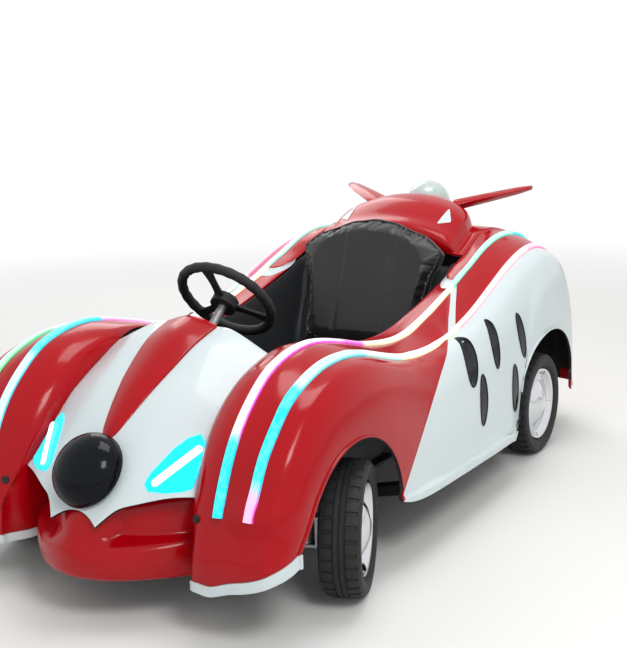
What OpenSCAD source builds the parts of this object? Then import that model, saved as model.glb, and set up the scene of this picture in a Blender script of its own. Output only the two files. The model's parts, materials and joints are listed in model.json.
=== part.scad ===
// Fairground bumper car: battery drive, four road wheels, one moulded two-colour body.
// X points forward, Y to the driver's left, Z up. The origin is on the floor under the
// middle of the car. All lengths are millimetres.

/* [Running gear] */
// Distance between the front and rear axles
wheelbase = 1200; // [1120:5:1300]
// Distance between the middles of the two rear tyres
track = 890; // [870:2:920]
// Distance between the middles of the two front tyres, wheels straight
front_track = 914; // [896:2:930]
// Outer diameter of the tyres
tyre_d = 312; // [300:2:322]
// Width of the tyres
tyre_w = 95; // [80:1:104]
// Diameter of the wheel discs
rim_d = 226; // [200:2:240]
// Bore of the wheel hubs, which is the stub axle's diameter too
axle_d = 20; // [16:1:25]
// Angle that the front wheels are turned to the left as it stands
steer_now = 20; // [0:1:28]
// Distance between the two kingpins
kingpin_span = 720; // [690:2:740]
// Length of the steering arms
steer_arm = 90; // [75:1:105]

/* [Body] */
// Full width of the body over the sills
body_w = 1036; // [1010:2:1060]
// Thickness of the moulded body shell
shell_t = 6; // [4:0.5:8]
// Height of the raised band along the foot of the sills
sill_band = 38; // [25:1:50]
// How far that band stands out from the side
sill_flare = 14; // [6:1:20]
// Width of the light strips
strip_w = 20; // [14:1:26]
// Height of the light strips
strip_h = 8; // [5:1:12]
// Height of the pale trim under the front fenders
trim_h = 30; // [20:1:40]
// Height of each oval in the sides
vent_h = 142; // [110:2:146]
// Width of each oval in the sides
vent_w = 68; // [50:1:74]
// Radius of the round nose cap
nose_r = 86; // [70:1:95]

/* [Cockpit] */
// Diameter of the steering wheel
wheel_d = 270; // [230:5:300]
// Thickness of the steering wheel's rim
wheel_grip = 26; // [20:1:32]
// Width of the cockpit floor
cockpit_w = 500; // [480:5:520]
// Thickness of the cockpit tub
tub_t = 5; // [4:0.5:8]
// Width of the seat cushion
seat_w = 440; // [400:5:440]

/* [Frame] */
// Width of the square frame tubes
tube = 40; // [30:1:44]
// Distance between the middles of the two frame rails
rail_span = 400; // [360:5:420]
// Height of the frame's underside over the ground
frame_z = 87; // [85:1:91]
// Bore of the front and rear tow eyes
tow_bore = 14; // [10:0.5:18]

/* [Hidden] */

paint_red = "#c4101f";
paint_white = "#e6e9e6";
black = "#17181b";
steel = "#8d9196";

fit = 0.3;                                // running and seating clearance
front_reach = 394;                        // chin in front of the front axle
rear_reach = 442;                         // tail behind the rear axle
rear_x = (rear_reach - front_reach - wheelbase) / 2;
front_x = rear_x + wheelbase;             // front axle
axle_z = tyre_d / 2;                      // both axles
half_w = body_w / 2;
crest_in = 330;                           // distance of the inner crest from the middle
crest_out = half_w - 108;                 // distance of the outer crest from the middle
rail_top = frame_z + tube;
$fn = 48;

// Curves and sheets

function mix(a, b, t) = a + (b - a) * t;
function clamp01(t) = max(0, min(1, t));

// One Catmull-Rom piece; works on numbers and on whole rows.
function blend4(a, b, c, d, t) =
    0.5 * (2 * b + (c - a) * t + (2 * a - 5 * b + 4 * c - d) * t * t
           + (3 * b - a - 3 * c + d) * t * t * t);

// A row of a table at place t, counted in rows, on a smooth curve through all rows.
function row_at(rows, t) =
    let (last = len(rows) - 1, i = min(floor(t), last - 1), b = rows[i], c = rows[i + 1],
         a = i > 0 ? rows[i - 1] : 2 * b - c,
         d = i + 2 <= last ? rows[i + 2] : 2 * c - b)
    blend4(a, b, c, d, t - i);

function refine(rows, n) =
    [for (k = [0 : n * (len(rows) - 1)]) row_at(rows, k / n)];

function normal_at(g, i, j) =
    let (r = len(g) - 1, c = len(g[0]) - 1,
         along = g[min(i + 1, r)][j] - g[max(i - 1, 0)][j],
         across = g[i][min(j + 1, c)] - g[i][max(j - 1, 0)],
         n = cross(across, along))
    n / max(norm(n), 1e-9);

// The same grid moved along its own normals.
function lifted(g, by) =
    [for (i = [0 : len(g) - 1]) [for (j = [0 : len(g[0]) - 1]) g[i][j] + by * normal_at(g, i, j)]];

function part_of(g, i0, i1, j0, j1) =
    [for (i = [i0 : i1]) [for (j = [j0 : j1]) g[i][j]]];

// A solid between two grids of points of the same size, outer one first.
module slab(outer, inner) {
    r = len(outer);
    c = len(outer[0]);
    n = r * c;
    points = concat([for (row = outer) each row], [for (row = inner) each row]);
    faces = concat(
        [for (i = [0 : r - 2]) for (j = [0 : c - 2]) let (a = i * c + j)
            each [[a, a + c, a + c + 1], [a, a + c + 1, a + 1]]],
        [for (i = [0 : r - 2]) for (j = [0 : c - 2]) let (a = n + i * c + j)
            each [[a, a + c + 1, a + c], [a, a + 1, a + c + 1]]],
        [for (i = [0 : r - 2]) let (a = i * c)
            each [[a, n + a, n + a + c], [a, n + a + c, a + c]]],
        [for (i = [0 : r - 2]) let (a = i * c + c - 1)
            each [[a, a + c, n + a + c], [a, n + a + c, n + a]]],
        [for (j = [0 : c - 2])
            each [[j, j + 1, n + j + 1], [j, n + j + 1, n + j]]],
        [for (j = [0 : c - 2]) let (a = (r - 1) * c + j)
            each [[a, n + a, n + a + 1], [a, n + a + 1, a + 1]]]);
    polyhedron(points, faces, convexity = 6);
}

// A solid through closed outlines of the same number of points, capped at both ends.
module tube_loft(outlines) {
    r = len(outlines);
    c = len(outlines[0]);
    points = [for (o = outlines) each o];
    faces = concat(
        [for (i = [0 : r - 2]) for (j = [0 : c - 1])
            let (a = i * c + j, b = i * c + (j + 1) % c)
            each [[a, a + c, b + c], [a, b + c, b]]],
        [for (j = [1 : c - 2]) [0, j, j + 1]],
        [for (j = [1 : c - 2]) let (a = (r - 1) * c) [a, a + j + 1, a + j]]);
    polyhedron(points, faces, convexity = 6);
}

module both_sides() {
    children();
    mirror([0, 1, 0]) children();
}

// Side shell, drawn for the left side.
// Heights are measured from the axle line. Lengths are measured from the rear axle, plus
// share times the wheelbase.
// The lower edge runs round the wheel arches, and the rows between them lean, so that the
// line between the two colours is a row of the shell.

arch_front = [5, 10, 210, 210];           // x and z of the middle, half width, height
arch_rear = [-32, -35, 300, 260];
function on_arch(a, angle) = [a[0] + a[2] * cos(angle), a[1] + a[3] * sin(angle)];

// share, inner crest x z, outer crest x z, lower edge [x z], its y, sill share,
// foot x y z, lean
shell_rows = [
    [1,    330, -22,  328, -4,   [238, 45], -16, 0,   318, 272, -25,  1],
    [1,    328, 30,   326, 40,   [221, 66], -14, 0,   312, 272, 30,  1],
    [1,    310, 70,   312, 78,   on_arch(arch_front, 25),  -12, 0,  296, 268, 70,  1],
    [1,    296, 115,  305, 122,  on_arch(arch_front, 35),  -10, 0,  270, 250, 112, 1],
    [1,    272, 175,  276, 175,  on_arch(arch_front, 50),  -8,  0,  228, 234, 152, 1],
    [1,    241, 235,  245, 230,  on_arch(arch_front, 63),  -7,  0,  188, 226, 198, 1],
    [1,    203, 286,  203, 277,  on_arch(arch_front, 76),  -6,  0,  148, 222, 240, 1],
    [1,    149, 335,  148, 325,  on_arch(arch_front, 89),  -5,  0,  112, 221, 272, 1],
    [1,    88, 374,   78, 357,   on_arch(arch_front, 102), -4,  0,  62, 222, 300,  1],
    [1,    10, 396,   -3, 376,   on_arch(arch_front, 115), -4,  0,  -8, 225, 333,  1],
    [1,    -72, 402,  -97, 377,  on_arch(arch_front, 128), -4,  0,  -80, 230, 362, 0.95],
    [1,    -160, 390, -195, 360, on_arch(arch_front, 141), -4,  0,  -165, 248, 374, 0.9],
    [1,    -262, 366, -300, 331, on_arch(arch_front, 153), -4,  0,  -270, 262, 360, 0.85],
    [1,    -385, 338, -410, 307, on_arch(arch_front, 163), -4,  0,  -400, 266, 334, 0.75],
    [1,    -580, 328, -545, 298, on_arch(arch_front, 172), -4,  0,  -620, 268, 336, 0.65],
    [0.43, -177, 398, 15, 309,   [485, 14], -4,  0.3, -275, 270, 418, 0.55],
    [0.43, -220, 417, -32, 318,  [395, -4],  0,  1,   -320, 270, 440, 0.6],
    [0.3,  -165, 450, 10, 348,   [360, -14], 2,  1,   -255, 271, 468, 0.75],
    [0.2,  -133, 482, 10, 391,   [270, -22], 2,  1,   -215, 273, 500, 0.9],
    [0.1,  -90, 502, 20, 430,    [210, -28], 0,  1,   -150, 276, 521, 1],
    [0,    -40, 510, 52, 455,    on_arch(arch_rear, 2),   -2,  0.3,  -90, 278, 528, 1],
    [0,    -100, 509, -22, 468,  on_arch(arch_rear, 30),  -4,  0,  -130, 280, 524, 1],
    [0,    -160, 501, -92, 472,  on_arch(arch_rear, 60),  -6,  0,  -180, 281, 514, 1],
    [0,    -210, 489, -165, 462, on_arch(arch_rear, 90),  -8,  0,  -228, 281, 500, 1],
    [0,    -262, 462, -240, 430, on_arch(arch_rear, 115), -12, 0,  -278, 281, 474, 1],
    [0,    -315, 412, -305, 378, on_arch(arch_rear, 137), -20, 0,  -330, 281, 424, 1],
    [0,    -362, 322, -352, 295, on_arch(arch_rear, 155), -28, 0,  -376, 281, 334, 1],
    [0,    -390, 210, -380, 195, on_arch(arch_rear, 168), -34, 0,  -404, 281, 220, 1],
    [0,    -406, 92, -396, 85,   on_arch(arch_rear, 178), -38, 0,  -420, 281, 98,  1],
    [0,    -420, -20, -410, -20, [-345, -38], -40, 0,  -434, 281, -20, 1]];
row_split = 15;                           // row along the line between the colours
row_band = 16;                            // row along the rear edge of the pale band
// Rows that are drawn: each half row, but only whole rows where the shell runs straight.
drawn = concat([0, 1, 2, 3], [for (u = [3.5 : 0.5 : 26]) u], [27, 28, 29]);
function drawn_at(u) = search(u, drawn)[0];

flank_steps = [0.06, 0.17, 0.33, 0.52, 0.74];
function flank_out(p) = pow(1 - pow(1 - p, 2.5), 0.4);

function place(share, x) = rear_x + share * wheelbase + x;

// In front of the arch the lower edge rises soon after the corner.
rise_first = 0.35;
rise_rows = 3;
function rise_at(u) = mix(rise_first, 1, clamp01(u / rise_rows));

// One line of points across the shell: foot, inner crest, outer crest, side, lower edge.
function shell_line(r, rise) =
    let (s = r[0],
         inner = [place(s, r[1]), crest_in, axle_z + r[2]],
         outer = [place(s, r[3]), crest_out, axle_z + r[4]],
         low = [place(s, r[5][0]), half_w + r[6] - sill_flare, axle_z + r[5][1]],
         sill = r[7],
         foot = [place(s, r[8]), r[9], axle_z + r[10]],
         band = mix(10, sill_band, sill),
         flare = mix(4, sill_flare, sill))
    concat(
        [for (t = [1, 0.66, 0.33])
            [mix(inner.x, foot.x, 1 - cos(90 * t)), mix(inner.y, foot.y, sin(90 * t)),
             mix(inner.z, foot.z, 1 - cos(90 * t))]],
        [inner],
        [mix(inner, outer, 0.5) + [0, 0, 5]],
        [outer],
        [for (p = flank_steps)
            let (q = p * (1 - band / max(norm(outer - low), 60)))
            [mix(outer.x, low.x, pow(q, r[11])), mix(outer.y, low.y, flank_out(p)),
             mix(outer.z, low.z, pow(q, rise))]],
        let (q = 1 - band / max(norm(outer - low), 60))
        [[mix(outer.x, low.x, pow(q, r[11])), low.y, mix(outer.z, low.z, pow(q, rise))],
         [mix(outer.x, low.x, pow(mix(q, 1, 0.25), r[11])), low.y + flare,
          mix(outer.z, low.z, pow(mix(q, 1, 0.25), rise))],
         low + [0, flare, 0]]);

shell_grid = [for (u = drawn) shell_line(row_at(shell_rows, u), rise_at(u))];
last_row = len(shell_grid) - 1;
last_col = len(shell_grid[0]) - 1;
shell_deep = lifted(shell_grid, -shell_t);
shell_back = [for (i = [0 : last_row]) i > 0 && i < last_row ? shell_deep[i]
    : [for (j = [0 : last_col]) [shell_deep[i][j].x, shell_deep[i][j].y, shell_grid[i][j].z]]];
col_in = 3;                               // column of the inner crest
col_out = 5;                              // column of the outer crest

module shell_part(i0, i1, j0, j1) {
    slab(part_of(shell_grid, i0, i1, j0, j1), part_of(shell_back, i0, i1, j0, j1));
}

// Inner side of the fender, from the shell's foot down to the trim.
skirt_last = drawn_at(4.5);
function skirt_z(k) = axle_z - 27 + (k == 0 ? 1.5 : 0);
function in_wall(k, j, t) = mix(shell_grid[k][j], shell_back[k][j], t);
function skirt_side(t) = [for (k = [0 : skirt_last])
    let (p = in_wall(k, 0, t)) [[p.x, p.y, skirt_z(k)], p, mix(p, in_wall(k, 1, t), 0.5)]];

module fender() {
    shell_part(0, drawn_at(row_split), 0, last_col);
    slab(skirt_side(0.17), skirt_side(0.83));
}

module shoulder() {
    shell_part(drawn_at(row_band), last_row, 0, col_out);
}

module quarter() {
    shell_part(drawn_at(row_split), last_row, col_out, last_col);
}

module fender_left() { color(paint_red) fender(); }
module fender_right() { color(paint_red) mirror([0, 1, 0]) fender(); }
module shoulder_left() { color(paint_red) shoulder(); }
module shoulder_right() { color(paint_red) mirror([0, 1, 0]) shoulder(); }
module quarter_left() { color(paint_white) quarter(); }
module quarter_right() { color(paint_white) mirror([0, 1, 0]) quarter(); }

module belt_bands() {
    color(paint_white) both_sides()
        shell_part(drawn_at(row_split), drawn_at(row_band), 0, col_out);
}

// Cross-section of a light strip on one column of the shell: its foot follows the shell.
strip_gap = 0.7;                          // bonding gap under the strips
function beside(k, j, step) =
    let (p = shell_grid[k][j], q = shell_grid[k][j + step])
    p + (q - p) * strip_w / 2 / norm(q - p);
function strip_outline(k, j) =
    let (p = shell_grid[k][j], n = normal_at(shell_grid, k, j),
         a = beside(k, j, -1), b = beside(k, j, 1), foot = n * strip_gap, top = n * strip_h)
    [a + foot, mix(a, p, 0.35) + top, mix(b, p, 0.35) + top, b + foot, p + foot];

strip_from = drawn_at(3);                 // first and last drawn rows with light strips
strip_to = drawn_at(24.5);

module light_strips() {
    color("#c8f4f8") both_sides()
        for (j = [col_in, col_out])
            tube_loft([for (k = [strip_from : strip_to]) strip_outline(k, j)]);
}

trim_out = 4;                             // how far the trim stands out
trim_slim = 0.65;                         // height at its inner end, as a share of the full one
trim_gap = 0.8;
// Pale trim along the foot of the front fender: the skirt's edge, then the shell's first line.
trim_path = concat(
    [for (k = [skirt_last : -1 : 1]) let (p = shell_grid[k][0]) [p.x, p.y, skirt_z(k) + fit]],
    shell_grid[0]);
trim_last = len(trim_path) - 1;

module fender_trims() {
    color(paint_white) both_sides()
        tube_loft([for (j = [0 : trim_last])
            let (t = trim_path[min(j + 1, trim_last)] - trim_path[max(j - 1, 0)],
                 out = [t.y, -t.x, 0] / norm([t.x, t.y]), p = trim_path[j] - [0, 0, trim_gap],
                 h = [0, 0, trim_h * mix(trim_slim, 1, max(0, j - skirt_last) / last_col)])
            [p - shell_t * out, p + trim_out * out, p + trim_out * out - h, p - shell_t * out - h]]);
}

// Ovals in the sides: patches of a raised skin that follows the shell.
// share, x, z of the middle, lean of the side there, how far the top leans back
vent_places = [[0.35, 130, 260, 30, 18], [0.25, 79, 269, 15, 6], [0.15, 8, 254, 8, -12],
               [0.3, 135, 137, 3, 6], [0.18, 45, 115, 2, 0]];
vent_gap = 0.4;
vent_rise = 3;                            // how far the ovals stand out
vent_y = half_w - 30;                     // the prisms turn about this line
vent_reach = 80;
vent_skin = part_of(shell_grid, drawn_at(row_split), drawn_at(21), col_out, last_col - 2);

module side_vents() {
    color(black) both_sides() intersection() {
        slab(lifted(vent_skin, vent_rise), lifted(vent_skin, vent_gap));
        for (v = vent_places)
            translate([place(v[0], v[1]), vent_y, axle_z + v[2]]) rotate([v[3] - 90, 0, 0])
                translate([0, 0, -vent_reach]) linear_extrude(2 * vent_reach) rotate(-v[4])
                    polygon([for (a = [0 : 20 : 340]) [vent_w * cos(a), vent_h * sin(a)] / 2]);
    }
}

// Bonnet, drawn over the front rows of the shell, whose foot is its side edge.
// shell row, height and reach of the centre line measured from the front axle
bonnet_rows = [
    [10, -88, 420], [9, 2, 392], [8, 78, 350], [7, 140, 310],
    [6, 195, 268], [5, 243, 226], [4, 292, 176], [3.5, 322, 138]];
seam = 0.5;                               // open seam between neighbouring panels
bonnet_ribs = 9;                          // height of the soft lengthwise ribs

function foot_at(u) =
    let (r = row_at(shell_rows, u)) [place(r[0], r[8]), r[9], axle_z + r[10]];

// A point of the bonnet: u counts its own rows, s runs from -1 at the right to 1 at the left.
function bonnet_point(u, s) =
    let (r = row_at(bonnet_rows, u), f = foot_at(r[0]), w = abs(s),
         rib = bonnet_ribs * pow(sin(180 * w), 4) * (1 - u / 9))
    [mix(front_x + r[1], f.x, w * w), s * (f.y - seam), mix(axle_z + r[2], f.z, w * w) + rib];

bonnet_last = len(bonnet_rows) - 1;
// place across, length of the front edge below the last row
bonnet_teeth = [[-1, 4], [-0.85, 6], [-0.7, 15], [-0.52, 31], [-0.39, 46], [-0.26, 85],
                [-0.13, 62], [0, 55], [0.13, 62], [0.26, 85], [0.39, 46], [0.52, 31],
                [0.7, 15], [0.85, 6], [1, 4]];
face_slope = 52;                          // slope of the bonnet's front face
face_dir = [cos(face_slope), 0, -sin(face_slope)];

// Columns run from the right to the left, rows from the cowl to the front edge, so they are
// turned round to keep the outer face outside.
bonnet_grid = concat(
    [for (k = [0 : 2 * bonnet_last]) [for (t = bonnet_teeth) bonnet_point(k / 2, -t[0])]],
    [[for (t = bonnet_teeth) bonnet_point(bonnet_last, -t[0]) + t[1] * face_dir]]);

nose_reach = 302;                         // middle of the nose from the front axle
nose_height = 164;
nose_at = [front_x + nose_reach, 0, axle_z + nose_height];
nose_stem = nose_r - 24;
nose_rise = nose_r - 24;

module on_nose() {
    translate(nose_at) rotate([0, 90 - 38, 0]) children();
}

module bonnet() {
    color(paint_white) difference() {
        slab(bonnet_grid, lifted(bonnet_grid, -shell_t));
        on_nose() translate([0, 0, -40]) cylinder(h = 80, r = nose_stem + fit);
    }
}

module nose_cap() {
    color(black) on_nose() rotate_extrude()
        polygon(concat([[0, -46], [nose_stem, -46], [nose_stem, 6], [nose_r, 8]],
            [for (a = [6 : 6 : 84]) [nose_r * cos(a), 8 + nose_rise * sin(a)]],
            [[0, 8 + nose_rise]]));
}

// Raised teardrop along the middle of the bonnet.
// bonnet row, half width, height
ridge_rows = [[0.05, 74, 22], [1, 70, 22], [2, 60, 20], [3, 47, 17], [4, 33, 13], [4.8, 20, 8],
              [5.1, 6, 3]];
ridge_grid = [for (r = refine(ridge_rows, 2)) [for (k = [-4 : 4])
    let (s = -k / 4, f = foot_at(row_at(bonnet_rows, r[0])[0]))
    bonnet_point(r[0], s * r[1] / f.y) + [0, 0, fit + r[2] * (0.25 + 0.75 * cos(90 * s))]]];
ridge_base = [for (r = refine(ridge_rows, 2)) [for (k = [-4 : 4])
    let (s = -k / 4, f = foot_at(row_at(bonnet_rows, r[0])[0]))
    bonnet_point(r[0], s * r[1] / f.y) + [0, 0, fit]]];

module bonnet_ridge() { color(paint_red) slab(ridge_grid, ridge_base); }

// Wedge-shaped lamp on each side of the bonnet's front, cut from a raised skin.
lamp_h = 6;
lamp_gap = 0.5;
lamp_edge = 0.94;                         // outer edge of the lamp across the bonnet
// bonnet row, inner edge of the lamp across the bonnet
lamp_rows = [[6.95, 0.5], [6.5, 0.57], [6, 0.66], [5.5, 0.745], [5, 0.82], [4.6, 0.87]];
lamp_last = len(lamp_rows) - 1;

module lamp_skin(j0, j1) {
    g = part_of(bonnet_grid, 8, 2 * bonnet_last + 1, j0, j1);
    slab(lifted(g, lamp_h), lifted(g, lamp_gap));
}

module headlamps() {
    color("#39e6f2") intersection() {
        union() {
            lamp_skin(0, 4);
            lamp_skin(10, 14);
        }
        both_sides() linear_extrude(axle_z + crest_out) polygon(concat(
            [for (r = lamp_rows) let (p = bonnet_point(r[0], r[1])) [p.x, p.y]],
            [for (k = [lamp_last : -1 : 0])
                let (p = bonnet_point(lamp_rows[k][0], lamp_edge)) [p.x, p.y]]));
    }
}

// Chin panel under the bonnet, with an upright keel in the middle.
// height and reach in the middle, height and reach at the ends, half width, how far the keel
// stands out
valance_rows = [
    [134, 308, 126, 212, 222, 0], [118, 322, 112, 220, 224, 0], [100, 336, 96, 226, 226, 6],
    [80, 344, 78, 228, 227, 14], [62, 348, 62, 228, 227, 20], [46, 352, 46, 228, 227, 24],
    [36, 360, 36, 230, 227, 24], [20, 380, 20, 236, 227, 12], [-6, 392, -6, 240, 227, 2],
    [-34, 390, -34, 238, 227, 0], [-50, 378, -50, 234, 227, 0], [-58, 352, -58, 222, 227, 0]];
keel_w = 0.4;                             // half width of the keel as a share of the chin's
valance_grid = [for (r = valance_rows) [for (k = [-7 : 7])
    let (s = -k / 7, w = s * s, keel = r[5] * pow(cos(90 * min(1, abs(s) / keel_w)), 2))
    [front_x + mix(r[1], r[3], w) + keel, s * r[4], axle_z + mix(r[0], r[2], w)]]];

module front_valance() {
    color(paint_red) difference() {
        slab(valance_grid, lifted(valance_grid, -shell_t));
        on_nose() translate([0, 0, -60]) cylinder(h = 80, r = nose_stem + fit);
    }
}

// Rear deck, headrest fairing and tail: one skin between the two shoulders.
deck_from = 17;                           // shell row of the deck's front edge
deck_crown = 8;
// half width and height of the fairing over the deck, one row for each row of the shell
fairing_rows = [[236, 70], [236, 80], [230, 87], [216, 92], [192, 95], [165, 95], [140, 90],
                [116, 74], [94, 46], [76, 16], [62, 2], [60, 0], [60, 0]];
fairing_steps = [0, 0.36, 0.7, 0.92];

// A point of the plain deck, s from -1 at the right to 1 at the left.
function deck_point(u, s) =
    let (f = foot_at(u), w = 1 - s * s, down = clamp01((u - 22) / 4))
    [f.x - deck_crown * w * down, s * (f.y - seam), f.z + deck_crown * w * (1 - down)];

// One line of the skin from the right to the left, the fairing's height times rise.
function deck_line(u, rise) =
    let (f = foot_at(u), r = row_at(fairing_rows, u - deck_from), w = r[0] / f.y,
         half = concat([[1, 0], [mix(1, w, 0.55), 0], [w, 0]],
             [for (k = [3 : -1 : 1]) let (t = fairing_steps[k])
                 [w * t, r[1] * pow(1 - t * t, 0.42)]]))
    concat([for (h = half) deck_point(u, -h[0]) + [0, 0, rise * h[1]]],
           [deck_point(u, 0) + [0, 0, rise * r[1]]],
           [for (k = [5 : -1 : 0]) deck_point(u, half[k][0]) + [0, 0, rise * half[k][1]]]);

deck_lip = 4;                             // depth of the fairing's front face
deck_gap = 5;                             // room between its underside and the shoulders
deck_grid = concat([[for (p = deck_line(deck_from, 0)) p + [deck_lip, 0, 0]]],
                   [for (u = drawn) if (u >= deck_from) deck_line(u, 1)]);
deck_last = len(deck_grid[0]) - 1;

// The underside, with its side edges cut back along the shell's own edge.
deck_deep = lifted(deck_grid, -shell_t);
deck_back = [for (i = [0 : len(deck_grid) - 1])
    let (k = drawn_at(deck_from) + max(i - 1, 0), row = deck_deep[i],
         y = min(shell_grid[k][0].y, shell_back[k][0].y) - deck_gap)
    [for (j = [0 : deck_last])
        j == 0 ? [row[j].x, -y, row[j].z] : j == deck_last ? [row[j].x, y, row[j].z] : row[j]]];

module rear_deck() {
    color(paint_red) slab(deck_grid, deck_back);
}

// Everything under a part of the fairing's skin, for pieces that stand on it.
module under_deck(i0, i1, j0, j1) {
    g = part_of(deck_grid, i0, i1, j0, j1);
    slab(lifted(g, fit), [for (row = g) [for (p = row) [p.x, p.y, axle_z]]]);
}

// Round rear lamps on the tail face.
lamp_row = 27;
lamp_place = 0.66;
module tail_lamps() {
    g = [for (du = [-0.5, 0, 0.5]) [for (ds = [-0.14, 0, 0.14])
        deck_point(lamp_row + du, lamp_place + ds)]];
    color("#d02028") both_sides() slab(lifted(g, 9), lifted(g, 0.8));
}

dome_r = 72;
dome_at = deck_point(22.8, 0) + [0, 0, 80];
module headrest_dome() {
    color(paint_white) difference() {
        translate(dome_at) sphere(r = dome_r);
        under_deck(7, 19, 3, 9);
    }
}

// Swept wings at the sides of the headrest.
wing_root = deck_point(21.3, 0) + [0, 140, 62];
wing_tip = wing_root + [-150, 195, 46];
// place along the wing, chord, thickness
wing_rows = [[0, 120, 36], [0.4, 102, 31], [0.8, 76, 24], [1, 40, 14]];
function wing_outline(r) =
    let (p = mix(wing_root, wing_tip, r[0]), c = r[1], t = r[2] / 2)
    [p + [c / 2, 0, 0], p + [c / 5, 0, -t], p + [-c / 3, 0, -t],
     p + [-c / 2, 0, 0], p + [-c / 3, 0, t], p + [c / 5, 0, t]];

module headrest_wings() {
    color(paint_red) difference() {
        both_sides() tube_loft([for (r = wing_rows) wing_outline(r)]);
        under_deck(4, 16, 0, deck_last);
    }
}

// Cockpit tub: one moulded sheet of floor, side walls, toe board, seat box and rear wall.
// Its rim hangs inside the shell's inner edge.
floor_top = rail_top + fit + tub_t;
hump_top = 185;                           // floor over the front axle
seat_base = 243;
// x measured from the front axle, height, drop of the rim under the shell's edge
tub_front = [[152, hump_top + 170, 26], [118, hump_top + 80, 26], [92, hump_top + 26, 26],
             [60, hump_top, 26], [0, hump_top, 26], [-60, hump_top, 26], [-104, hump_top, 12],
             [-122, hump_top, 2], [-160, floor_top, 1], [-215, floor_top, 1],
             [-280, floor_top, 1], [-380, floor_top, 1], [-500, floor_top, 1]];
// the same, x measured from the rear axle
back_foot = 278;                          // foot of the rear wall from the rear axle
back_lean = 19;                           // lean of the rear wall and the backrest
tub_rear = concat([[600, floor_top, 1], [568, seat_base, 1], [480, seat_base, 1],
                   [390, seat_base, 1]],
    [for (h = [0, 70, 150, 230, 300, 336]) [back_foot - h * tan(back_lean), seat_base + h, 1]],
    [[112, seat_base + 366, 1]]);
rim_y = [for (k = [0 : last_row]) let (p = shell_grid[k][0], q = shell_back[k][0])
    [p.x, min(p.y, q.y)]];
rim_z = [for (k = [0 : last_row]) let (p = shell_grid[k][0], q = shell_back[k][0])
    [p.x, min(p.z, q.z)]];

function tub_line(x, z, drop) =
    let (top = [lookup(x, rim_y) - tub_t - 1 - drop / 3, lookup(x, rim_z) - drop],
         y = min(cockpit_w / 2 - tub_t, top[0] - 6), low = min(z, top[1] - 30),
         c = min(y - seat_w / 2 - 2, (top[1] - low) / 3))
    [top, [mix(top[0], y, 0.6), mix(top[1], low, 0.5)], [y, low + c], [y - c / 3, low + c / 3],
     [y - c, low], [0, low]];
tub_grid = [for (r = concat([for (r = tub_front) [front_x + r[0], r[1], r[2]]],
                            [for (r = tub_rear) [rear_x + r[0], r[1], r[2]]]))
    let (h = tub_line(r[0], r[1], r[2]))
    concat([for (k = [0 : 5]) [r[0], -h[k][0], h[k][1]]],
           [for (k = [4 : -1 : 0]) [r[0], h[k][0], h[k][1]]])];

module cockpit_tub() {
    color("#24262a") difference() {
        slab(tub_grid, lifted(tub_grid, -tub_t));
        translate([front_x, 0, hump_top - 20]) cylinder(h = 40, d = post_d + 2 * fit);
    }
}

// Seat
module seat_cushion() {
    color(black) translate([rear_x + 300, 0, seat_base + fit])
        linear_extrude(78) offset(r = 40) offset(delta = -40)
            translate([0, -seat_w / 2]) square([300, seat_w]);
}

back_t = 52;
module seat_backrest() {
    half = [[205, 0], [217, 150], [230, 235], [246, 292], [252, 326], [196, 372], [80, 418]];
    outline = concat([[0, 427]], [for (k = [6 : -1 : 0]) [-half[k][0], half[k][1]]], half);
    color(black) translate([rear_x + back_foot + 1 - 82 * tan(back_lean), 0, seat_base + 82])
        rotate([0, -back_lean, 0]) rotate([90, 0, 90]) linear_extrude(back_t) polygon(outline);
}

// Instrument panel under the cowl.
dash_t = 8;
dash_grid = [for (t = [0 : 2]) [for (k = [-6 : 6]) let (s = k / 6)
    bonnet_point(0, s * 0.96) + [-4 - 34 * t / 2, 0, -shell_t - 4 - 100 * t / 2]]];
module dashboard() {
    color("#1c2436") difference() {
        slab([for (row = dash_grid) [for (p = row) p - [dash_t, 0, 0]]], dash_grid);
        on_column() cylinder(h = column_len, d = column_d + 2 * fit);
    }
}

// Steering: the wheel turns a slanted column, whose gearbox on a post over the front beam
// turns an upright shaft. Its arm moves the track rod, and that turns both knuckles alike.
steer_ratio = 1.5;                        // turn of the wheel for a turn of the knuckles
post_d = 36;
post_bore = 16;
box_z = axle_z + 262;                     // crossing of the two shafts
column_slope = 40;
column_d = 22;
column_len = 300;
function column_turn() = steer_ratio * steer_now;

module on_column() {
    translate([front_x, 0, box_z]) rotate([0, column_slope - 90, 0]) children();
}

module steering_box() {
    color(steel) difference() {
        union() {
            translate([front_x, 0, boss_z + beam + fit])
                cylinder(h = box_z - boss_z - beam - 30, d = post_d);
            translate([front_x - 34, -30, box_z - 32]) cube([62, 60, 58]);
            on_column() cylinder(h = 74, d = 44);
        }
        translate([front_x, 0, boss_z]) cylinder(h = box_z - boss_z - 20, d = post_bore + 2 * fit);
        on_column() translate([0, 0, 20]) cylinder(h = 60, d = column_d + 2 * fit);
    }
}

module drop_shaft() {
    color(steel) translate([front_x, 0, 0]) rotate([0, 0, steer_now]) {
        translate([0, 0, arm_z]) cylinder(h = box_z - 24 - arm_z, d = post_bore);
        translate([0, 0, arm_z]) cylinder(h = arm_t, d = 34);
        rod_arm();
    }
}

module steering_column() {
    color(steel) on_column() rotate([0, 0, column_turn()])
        translate([0, 0, 22]) cylinder(h = column_len - 22 - 24, d = column_d);
}

module steering_wheel() {
    color(black) on_column() rotate([0, 0, column_turn()]) translate([0, 0, column_len]) {
        rotate_extrude() translate([(wheel_d - wheel_grip) / 2, 0]) circle(d = wheel_grip);
        translate([0, 0, -24]) cylinder(h = 30, d = 70);
        for (a = [0, 120, 240]) rotate([0, 0, a + 180]) translate([20, -14, -9])
            cube([(wheel_d - wheel_grip) / 2 - 20, 28, 8]);
    }
}

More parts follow.
